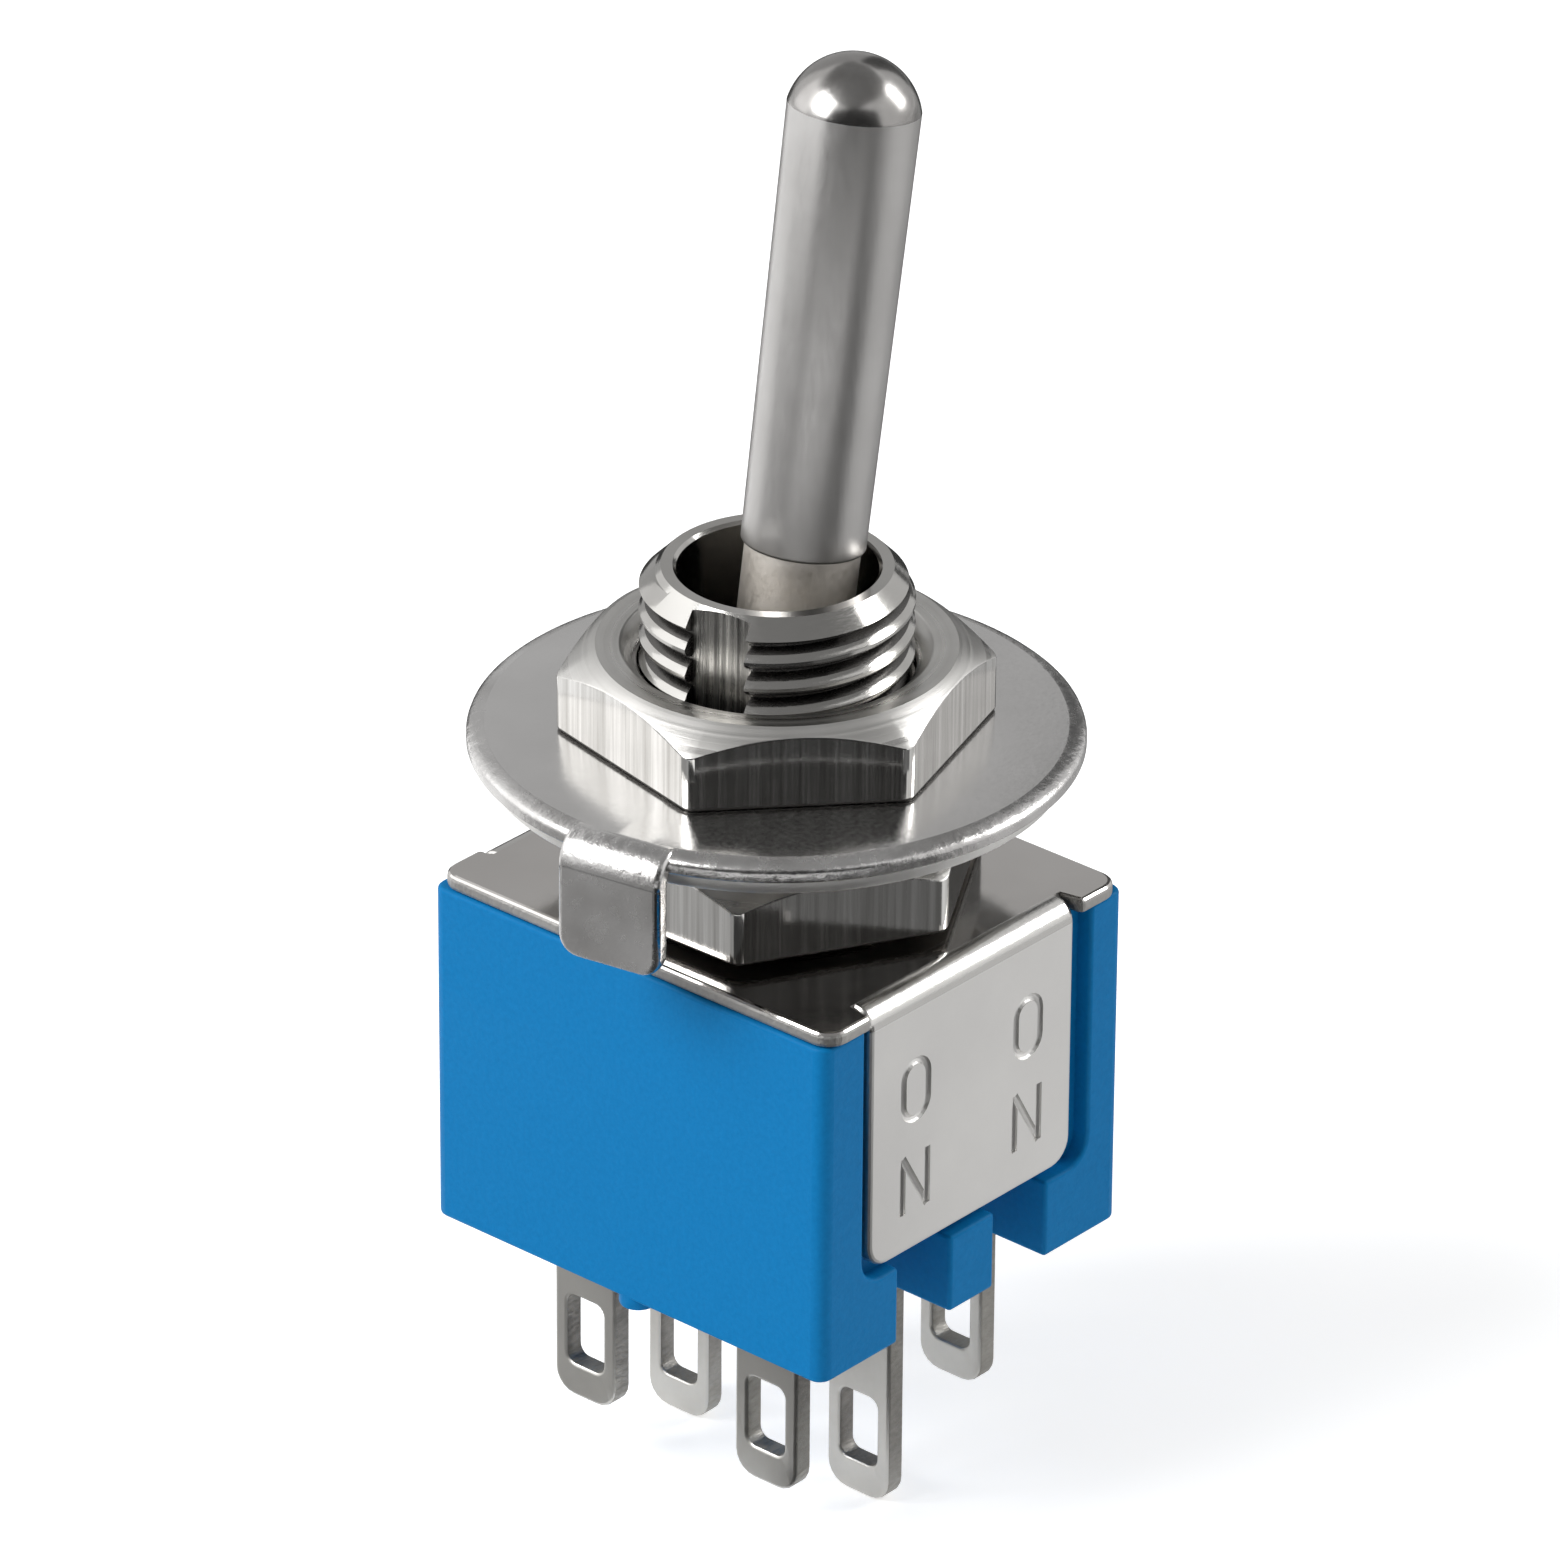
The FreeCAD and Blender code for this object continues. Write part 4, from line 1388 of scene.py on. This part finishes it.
@dataclass
class HexagonNut:
    """Hexagon nut with rounded corners, a turned top edge and two countersinks."""

    name: str
    node: str
    bottom: float
    angle: float
    across_flats: float = 6.8
    thickness: float = 1.5
    corner: float = 0.25
    face_radius: float = 3.2
    chamfer_angle: float = 33.0
    hole: float = 2.46
    countersink: float = 0.3
    edge: float = 0.03
    foot_edge: float = 0.08
    steps: int = 180
    soft_above: float = 36.0
    end_facing: float = 0.45
    painted_shadow_facing: tuple[float, float] = (-0.97, -0.1)

    def build(self, finishes: Finishes) -> None:
        """Make the nut and place it.

        Args:
            finishes: All materials of the switch.
        """
        mesh = bmesh.new()
        reach = self.across_flats / math.sqrt(3)
        bmesh.ops.create_cone(mesh, cap_ends=True, cap_tris=False, segments=6, radius1=reach,
                              radius2=reach, depth=self.thickness)
        nut = Blank(mesh).turn(math.pi / 6).move(z=self.thickness / 2)
        nut.round_edges(nut.edges_along(Axis.Z), self.corner * math.tan(math.pi / 6),
                        segments=5)
        far = max(vert.co.to_2d().length for vert in nut.mesh.verts) + BEYOND
        top = self.thickness
        slope = math.tan(math.radians(self.chamfer_angle))
        nut.keep(Blank.turned([(0.0, -BEYOND), (far, -BEYOND),
                               (far, top - (far - self.face_radius) * slope),
                               (self.face_radius, top), (0.0, top)], self.steps))
        sink = self.hole + self.countersink + BEYOND
        nut.remove(Blank.turned([(0.0, -BEYOND), (sink, -BEYOND),
                                 (self.hole, self.countersink),
                                 (self.hole, top - self.countersink), (sink, top + BEYOND),
                                 (0.0, top + BEYOND)]))
        foot = [edge for edge in nut.mesh.edges
                if all(vert.co.z < MERGED_BELOW
                       and vert.co.to_2d().length > self.hole + self.countersink + HAIR
                       for vert in edge.verts)]
        nut.round_edges(foot, self.foot_edge, segments=4)
        nut.soften(self.edge, sharper_than=self.soft_above)
        nut.turn(math.radians(self.angle)).move(z=self.bottom)

        def finish_of(face: bmesh.types.BMFace) -> int:
            """Number of the painted shadow, the faced or the drawn finish: foot, ends and
            flats.

            Args:
                face: The face.

            Returns:
                Its material's number.
            """
            height = face.calc_center_median().z - self.bottom
            lowest, highest = self.painted_shadow_facing
            # The foot's downward rounding gets painted shadow, where the nut meets the part
            # under it.
            if height < self.foot_edge and lowest < face.normal.z < highest:
                return 2
            return 1 if abs(face.normal.z) > self.end_facing else 0

        nut.place(self.name, SWITCH_BODY, "nut_metal", self.node,
                  [finishes.nut_side, finishes.nut_top, finishes.painted_shade], finish_of,
                  smooth_below=26.0)


@dataclass
class LockingRing:
    """Flat ring with a key in the bushing's keyway and a tab bent down at its rim."""

    radius: float = 5.47
    top: float = 3.08
    thickness: float = 0.38
    roll_width: float = 0.32
    roll_drop: float = 0.2
    roll_power: float = 1.2
    roll_steps: int = 6
    hole: float = 2.5
    key_reach: float = 2.13
    key_half_width: float = 0.425
    angle: float = 190.5
    tab_half_width: float = 1.025
    tab_reach: float = 5.72
    tab_foot: float = 0.75
    tab_bend: float = 0.22
    tab_corner: float = 0.4
    tab_edge: float = 0.13
    tab_taper: Point = (1.0, 0.9, 0.6)
    flat_facing: float = 0.99
    edge: float = 0.05

    @property
    def underside(self) -> float:
        """Height of the ring's lower face."""
        return self.top - self.thickness

    def tab(self) -> Blank:
        """Tab with its bend, along +X.

        Returns:
            The tab.
        """
        outside = self.tab_bend + self.thickness
        start, root = self.tab_reach - outside, self.radius - 3 * self.thickness
        half, low = self.tab_half_width, self.underside
        tab = Blank.bent_strip(
            [(root, -half, self.top), (root, half, self.top), (root, half, low),
             (root, -half, low)], (start - root, 0.0, 0.0), self.tab_taper,
            (start, 0.0, self.top - outside), Axis.Y, self.tab_foot - self.top + outside)
        lower = tab.edges_along(Axis.X, lambda point: point.z < self.tab_foot + HAIR)
        return tab.round_edges(lower, self.tab_corner)

    def rolled_rim(self) -> list[tuple[float, float]]:
        """Rounding of the upper rim, from the ring's wall up to its flat top.

        Returns:
            The points as (radius, height).
        """
        angles = [math.pi / 2 * step / self.roll_steps
                  for step in range(self.roll_steps, -1, -1)]
        return [(self.radius - self.roll_width * math.cos(angle) ** 2,
                 self.top - self.roll_drop * (1.0 - math.cos(angle)) ** self.roll_power)
                for angle in angles]

    def build(self, finishes: Finishes) -> None:
        """Make the ring and place it.

        Args:
            finishes: All materials of the switch.
        """
        low = self.underside
        ring = Blank.turned([(self.hole, low), (self.radius - self.edge, low),
                             (self.radius, low + self.edge), *self.rolled_rim(),
                             (self.hole, self.top)], WIDE_STEPS, ring=True)
        ring.add(Blank.block((self.key_reach, -self.key_half_width, low),
                             (self.hole + self.thickness, self.key_half_width, self.top)))
        ring.add(self.tab().soften(self.tab_edge, segments=4))
        ring.turn(math.radians(self.angle))

        def finish_of(face: bmesh.types.BMFace) -> int:
            """Number of the smooth finish for the flats and of the tumbled one for edges."""
            return 0 if abs(face.normal.z) > self.flat_facing else 1

        ring.place("tab_ring", SWITCH_BODY, "washer_metal", "locking_ring",
                   [finishes.washer, finishes.rolled], finish_of)


@dataclass
class LockWasher:
    """Spring washer with twisted teeth on its inner edge."""

    radius: float = 5.2
    top: float = 2.68
    thickness: float = 0.34
    rim_width: float = 0.9
    hole: float = 2.6
    tooth_count: int = 10
    tooth_half_width: float = 0.5
    tooth_edge: float = 0.03
    twist: float = 12.0
    edge: float = 0.11

    def build(self, finishes: Finishes) -> None:
        """Make the washer and place it.

        Args:
            finishes: All materials of the switch.
        """
        low = self.top - self.thickness
        inner = self.radius - self.rim_width
        washer = Blank.rod(self.radius, low, self.top, steps=WIDE_STEPS)
        washer.remove(Blank.rod(inner, low - BEYOND, self.top + BEYOND, steps=WIDE_STEPS))
        washer.soften(self.edge, segments=3)
        middle = self.top - self.thickness / 2
        twist = math.radians(self.twist)
        rise = self.tooth_half_width * math.sin(twist) + self.thickness / 2 * math.cos(twist)
        for number in range(self.tooth_count):
            tooth = Blank.block((self.hole, -self.tooth_half_width, low),
                                (inner + self.rim_width / 3, self.tooth_half_width, self.top))
            tooth.soften(self.tooth_edge, segments=1)
            tooth.turn(twist, Axis.X, Vector((0.0, 0.0, middle)))
            tooth.move(z=self.thickness / 2 - rise)
            tooth.turn(2 * math.pi * number / self.tooth_count)
            washer.add(tooth)
        washer.place("toothed_washer", SWITCH_BODY, "washer_metal", "lock_washer",
                     [finishes.toothed])


@dataclass
class SolderLug:
    """Flat solder lug with a slot, bent over or forked inside the case."""

    row: Row
    side: Side
    pitch: float = 2.54
    row_offset: float = 2.17
    half_sheet: float = 0.21
    half_width: float = 0.725
    throw_bottom: float = -10.54
    common_bottom: float = -11.89
    corner: float = 0.45
    slot_half_width: float = 0.44
    slot_height: float = 1.42
    slot_foot: float = 0.66
    slot_corner: float = 0.2
    floor_top: float = -4.7
    shelf_half_width: float = 0.65
    shelf_reach: float = 1.7
    rocker_axis: float = -3.818
    fork_overlap: float = 0.1
    fork_rounding: float = 0.98
    blade_facing: float = 0.6
    edge: float = 0.06

    @property
    def x(self) -> float:
        """Place along the throw."""
        return self.side.value * self.pitch

    @property
    def y(self) -> float:
        """Place across the throw."""
        return self.row.value * self.row_offset

    @property
    def bottom(self) -> float:
        """Height of the lug's lower end."""
        return self.common_bottom if self.side is Side.COMMON else self.throw_bottom

    def slot(self) -> Blank:
        """Tool of the slot for the wire.

        Returns:
            The tool.
        """
        low = self.bottom + self.slot_foot
        slot = Blank.block((self.x - BEYOND, self.y - self.slot_half_width, low),
                           (self.x + BEYOND, self.y + self.slot_half_width,
                            low + self.slot_height))
        return slot.round_edges(slot.edges_along(Axis.X), self.slot_corner, segments=5)

    def inner_end(self) -> Blank:
        """The shelf of a throw lug, or the fork of a common lug.

        Returns:
            The shelf or fork.
        """
        if self.side is Side.COMMON:
            fork = Blank.block((-self.half_sheet, self.y - self.shelf_half_width,
                                self.floor_top - self.fork_overlap),
                               (self.half_sheet, self.y + self.shelf_half_width,
                                self.rocker_axis + self.half_sheet))
            upper = fork.edges_along(Axis.Y, lambda point: point.z > self.rocker_axis)
            return fork.round_edges(upper, self.half_sheet * self.fork_rounding)
        return Blank.block(
            (self.side.value * (self.pitch + self.half_sheet),
             self.y - self.shelf_half_width, self.floor_top),
            (self.side.value * self.shelf_reach, self.y + self.shelf_half_width,
             self.floor_top + 2 * self.half_sheet))

    def build(self, finishes: Finishes) -> None:
        """Make the lug and place it.

        Args:
            finishes: All materials of the switch.
        """
        lug = Blank.block((self.x - self.half_sheet, self.y - self.half_width, self.bottom),
                          (self.x + self.half_sheet, self.y + self.half_width,
                           self.floor_top))
        lower = lug.edges_along(Axis.X, lambda point: point.z < self.bottom + HAIR)
        lug.round_edges(lower, self.corner, segments=5)
        lug.remove(self.slot())
        lug.soften(self.edge, segments=3)
        lug.add(self.inner_end()).move(x=CASE_OFFSET)

        def sheared(face: bmesh.types.BMFace) -> int:
            """Number of the sheared finish for the blade's narrow faces."""
            return 0 if abs(face.normal.x) > self.blade_facing else 1

        node = f"{self.row.label}_{self.side.label}_lug"
        lug.place(f"{self.row.label}_{self.side.label}_solder_lug", SWITCH_BODY,
                  "lug_metal", node, [finishes.lug, finishes.lug_edge], sheared)


@dataclass
class InnerWorks:
    """The pieces inside the case, which keep their shapes and get their finishes."""

    plunger_travel: float = 0.35

    def spring(self, row: Row, finish: bpy.types.Material) -> None:
        """Copy a plunger's spring as a piece of the lever's body.

        Args:
            row: Row of lugs that the plunger serves.
            finish: Material of the wire.
        """
        node = f"{row.label}_plunger_spring"
        mesh = bmesh.new()
        mesh.from_mesh(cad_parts[node].data)
        bmesh.ops.scale(mesh, vec=(1 / MM, 1 / MM, 1 / MM), verts=mesh.verts)
        coil = Blank(mesh).tidied()
        piece = coil.place(f"{row.label}_coil_spring", LEVER_BODY, "spring_metal", node,
                           [finish])
        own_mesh(piece)

    def build(self, finishes: Finishes) -> None:
        """Dress each inner solid, and copy the springs.

        Args:
            finishes: All materials of the switch.
        """
        dressed = {"pivot_pin": finishes.pin, "actuator_block": finishes.inner}
        for row in Row:
            dressed[f"{row.label}_plunger"] = finishes.inner
            self.spring(row, finishes.spring)
            dressed[f"{row.label}_rocker"] = finishes.contact
            for side in (Side.LEFT, Side.RIGHT):
                dressed[f"{row.label}_{side.label}_contact"] = finishes.contact
        for node, finish in dressed.items():
            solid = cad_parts[node]
            solid.data.materials.clear()
            solid.data.materials.append(finish)
            LOG.info("%s: kept from the solids", node)


@dataclass
class Studio:
    """Camera, soft lights, pale floor and white surroundings."""

    camera_place: Point = (-133.61, -116.40, 94.97)
    right: Point = (0.65899, -0.75213, 0.00610)
    up: Point = (0.34630, 0.31060, 0.88521)
    back: Point = (-0.66768, -0.58123, 0.46515)
    lens: float = 261.67
    sensor: float = 36.0
    floor_height: float = -11.91
    floor_size: float = 6.0
    floor_lift: float = 0.5
    # Glowing table cards as (start, end, reach, tone): painted reflections of a lit and shaded
    # table.
    table_tones: tuple[tuple[float, float, float, float], ...] = (
        (92.0, 126.0, 260.0, 1.15), (126.0, 150.0, 260.0, 0.45), (150.0, 185.0, 260.0, 0.36),
        (185.0, 250.0, 80.0, 0.05), (250.0, 285.0, 260.0, 0.14), (285.0, 340.0, 260.0, 0.7),
        (340.0, 372.0, 260.0, 0.45), (372.0, 435.0, 260.0, 0.05))
    table_near: float = 4.6
    # Glowing upright cards as (direction, reach, half width, low, high, tone): painted
    # reflections of lit and shaded surroundings, the first a dark one behind the camera.
    upright_tones: tuple[tuple[float, float, float, float, float, float], ...] = (
        (221.06, 230.0, 260.0, -11.9, 230.0, 0.04), (41.06, 220.0, 150.0, -11.9, 210.0, 0.5),
        (114.0, 200.0, 70.0, 20.0, 190.0, 1.8), (354.0, 200.0, 45.0, 10.0, 200.0, 0.75),
        (19.0, 195.0, 42.0, 5.0, 200.0, 0.1))
    # Grey glow of the card overhead, seen only in reflections.
    top_tone: float = 0.28
    top_half_width: float = 200.0
    top_height: float = 240.0
    world_light: float = 0.3
    clipping: tuple[float, float] = (0.01, 10.0)
    lamps: tuple[tuple[str, Point, tuple[float, float], float], ...] = (
        ("left_softbox", (-205.0, 100.0, 195.0), (170.0, 170.0), 0.85),
        ("right_softbox", (215.0, -155.0, 150.0), (80.0, 150.0), 0.42))

    def camera(self) -> None:
        """Camera at the photograph's place."""
        data = bpy.data.cameras.new("camera")
        data.lens = self.lens
        data.sensor_width = self.sensor
        data.clip_start, data.clip_end = self.clipping
        camera = put("camera", data)
        turning = Matrix((self.right, self.up, self.back)).transposed().to_4x4()
        camera.matrix_world = Matrix.Translation(Vector(self.camera_place) * MM) @ turning
        bpy.context.scene.camera = camera

    def lamp(self, name: str, place: Point, size: tuple[float, float], power: float) -> None:
        """Rectangular soft light that looks at the switch.

        Args:
            name: Name of the light.
            place: Its place in millimetres.
            size: Its sides in millimetres.
            power: Its power in watts.
        """
        data = bpy.data.lights.new(name, "AREA")
        data.shape = "RECTANGLE"
        data.size, data.size_y = size[0] * MM, size[1] * MM
        data.energy = power
        lamp = put(name, data)
        lamp.location = Vector(place) * MM
        lamp.rotation_mode = "QUATERNION"
        lamp.rotation_quaternion = (-lamp.location).to_track_quat("-Z", "Y")

    def card(self, name: str, corners: Sequence[Point], tone: float) -> None:
        """Glowing card of one grey that only reflections show: a painted reflection of lit and
        shaded surroundings, as of cards beside a photographer's table.

        Args:
            name: Name of the card.
            corners: Its corners in millimetres, in order.
            tone: Strength of its glow as a grey, from 0 for black to 1 for white.
        """
        mesh = bmesh.new()
        mesh.faces.new([mesh.verts.new(Vector(corner) * MM) for corner in corners])
        card = put(name, mesh_data(name, mesh))
        card.data.materials.append(Nodes(name).dress({
            "Base Color": BLACK, "Specular IOR Level": 0.0,
            "Emission Color": WHITE, "Emission Strength": tone}))
        card.visible_camera = False
        card.visible_diffuse = False
        card.visible_transmission = False
        card.visible_shadow = False

    def table_card(self, start: float, end: float, reach: float, tone: float) -> None:
        """Glowing card on the table, seen only in reflections, between two directions from the
        switch.

        Args:
            start: First direction in degrees from +X.
            end: Last direction in degrees.
            reach: Its outer distance from the switch.
            tone: Its grey.
        """
        rise = Vector((0.0, 0.0, self.floor_height + 0.1))
        corners = []
        for angle, places in ((start, (self.table_near, reach)),
                              (end, (reach, self.table_near))):
            out = Vector((math.cos(math.radians(angle)), math.sin(math.radians(angle)), 0.0))
            corners += [out * place + rise for place in places]
        self.card(f"table_card_{start:.0f}", corners, tone)

    def upright_card(self, direction: float, reach: float, half_width: float, low: float,
                     high: float, tone: float) -> None:
        """Upright glowing card, seen only in reflections, that faces the switch.

        Args:
            direction: Where it stands, in degrees from +X.
            reach: Its distance from the switch.
            half_width: Half its width.
            low: Height of its lower edge.
            high: Height of its upper edge.
            tone: Its grey.
        """
        angle = math.radians(direction)
        place = Vector((math.cos(angle), math.sin(angle), 0.0)) * reach
        across = Vector((-math.sin(angle), math.cos(angle), 0.0)) * half_width
        foot, head = Vector((0.0, 0.0, low)), Vector((0.0, 0.0, high))
        self.card(f"upright_card_{direction:.0f}",
                  [place - across + foot, place + across + foot, place + across + head,
                   place - across + head], tone)

    def cards(self) -> None:
        """Glowing greys around the switch that only reflections show, painted reflections of
        lit and shaded surroundings: on the table, upright around it and above.
        """
        for start, end, reach, tone in self.table_tones:
            self.table_card(start, end, reach, tone)
        for direction, reach, half_width, low, high, tone in self.upright_tones:
            self.upright_card(direction, reach, half_width, low, high, tone)
        half = self.top_half_width
        self.card("top_card", [(x, y, self.top_height) for x, y in
                               ((-half, -half), (half, -half), (half, half), (-half, half))],
                  self.top_tone)

    def floor(self) -> None:
        """Pale floor under the lugs."""
        mesh = bmesh.new()
        bmesh.ops.create_grid(mesh, x_segments=2, y_segments=2, size=self.floor_size / 2)
        bmesh.ops.translate(mesh, vec=(0, 0, self.floor_height * MM), verts=mesh.verts)
        floor = put("floor", mesh_data("floor", mesh))
        nodes = Nodes("pale_floor")
        lift = nodes.add("ShaderNodeMath", operation="MULTIPLY")
        lift.inputs[1].default_value = self.floor_lift
        nodes.link(nodes.directly_seen(), lift.inputs[0])
        floor.data.materials.append(nodes.dress({
            "Base Color": (0.9, 0.9, 0.9, 1.0), "Roughness": 0.9, "Specular IOR Level": 0.0,
            "Emission Color": WHITE, "Emission Strength": lift.outputs["Value"]}))

    def surroundings(self) -> None:
        """World that is white to the camera and dimmer as a light."""
        world = bpy.data.worlds.new("studio")
        bpy.context.scene.world = world
        nodes = Tree(world)
        soft = nodes.add("ShaderNodeBackground", strength=self.world_light)
        white = nodes.add("ShaderNodeBackground", color=WHITE, strength=1.0)
        mix = nodes.add("ShaderNodeMixShader")
        nodes.link(nodes.directly_seen(), mix.inputs["Fac"])
        nodes.link(soft.outputs["Background"], mix.inputs[1])
        nodes.link(white.outputs["Background"], mix.inputs[2])
        output = nodes.add("ShaderNodeOutputWorld")
        nodes.link(mix.outputs["Shader"], output.inputs["Surface"])

    def build(self) -> None:
        """Set up the whole studio."""
        self.camera()
        self.floor()
        self.cards()
        self.surroundings()
        for name, place, size, power in self.lamps:
            self.lamp(name, place, size, power)
        bpy.context.scene.view_settings.view_transform = "Standard"


def main() -> None:
    """Build the studio and every sub-assembly in order."""
    logging.basicConfig(level=logging.INFO, format="%(message)s")
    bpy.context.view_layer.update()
    Studio().build()
    finishes = Finishes()
    Case().build(finishes)
    Cover().build(finishes)
    Bushing().build(finishes)
    HexagonNut("lower_hexagon_nut", "lower_nut", 0.17, 211.1).build(finishes)
    HexagonNut("upper_hexagon_nut", "upper_nut", 3.08, 197.7).build(finishes)
    LockWasher().build(finishes)
    LockingRing().build(finishes)
    Lever().build(finishes)
    for row in Row:
        for side in Side:
            SolderLug(row, side).build(finishes)
    InnerWorks().build(finishes)


if __name__ == "__main__":
    main()
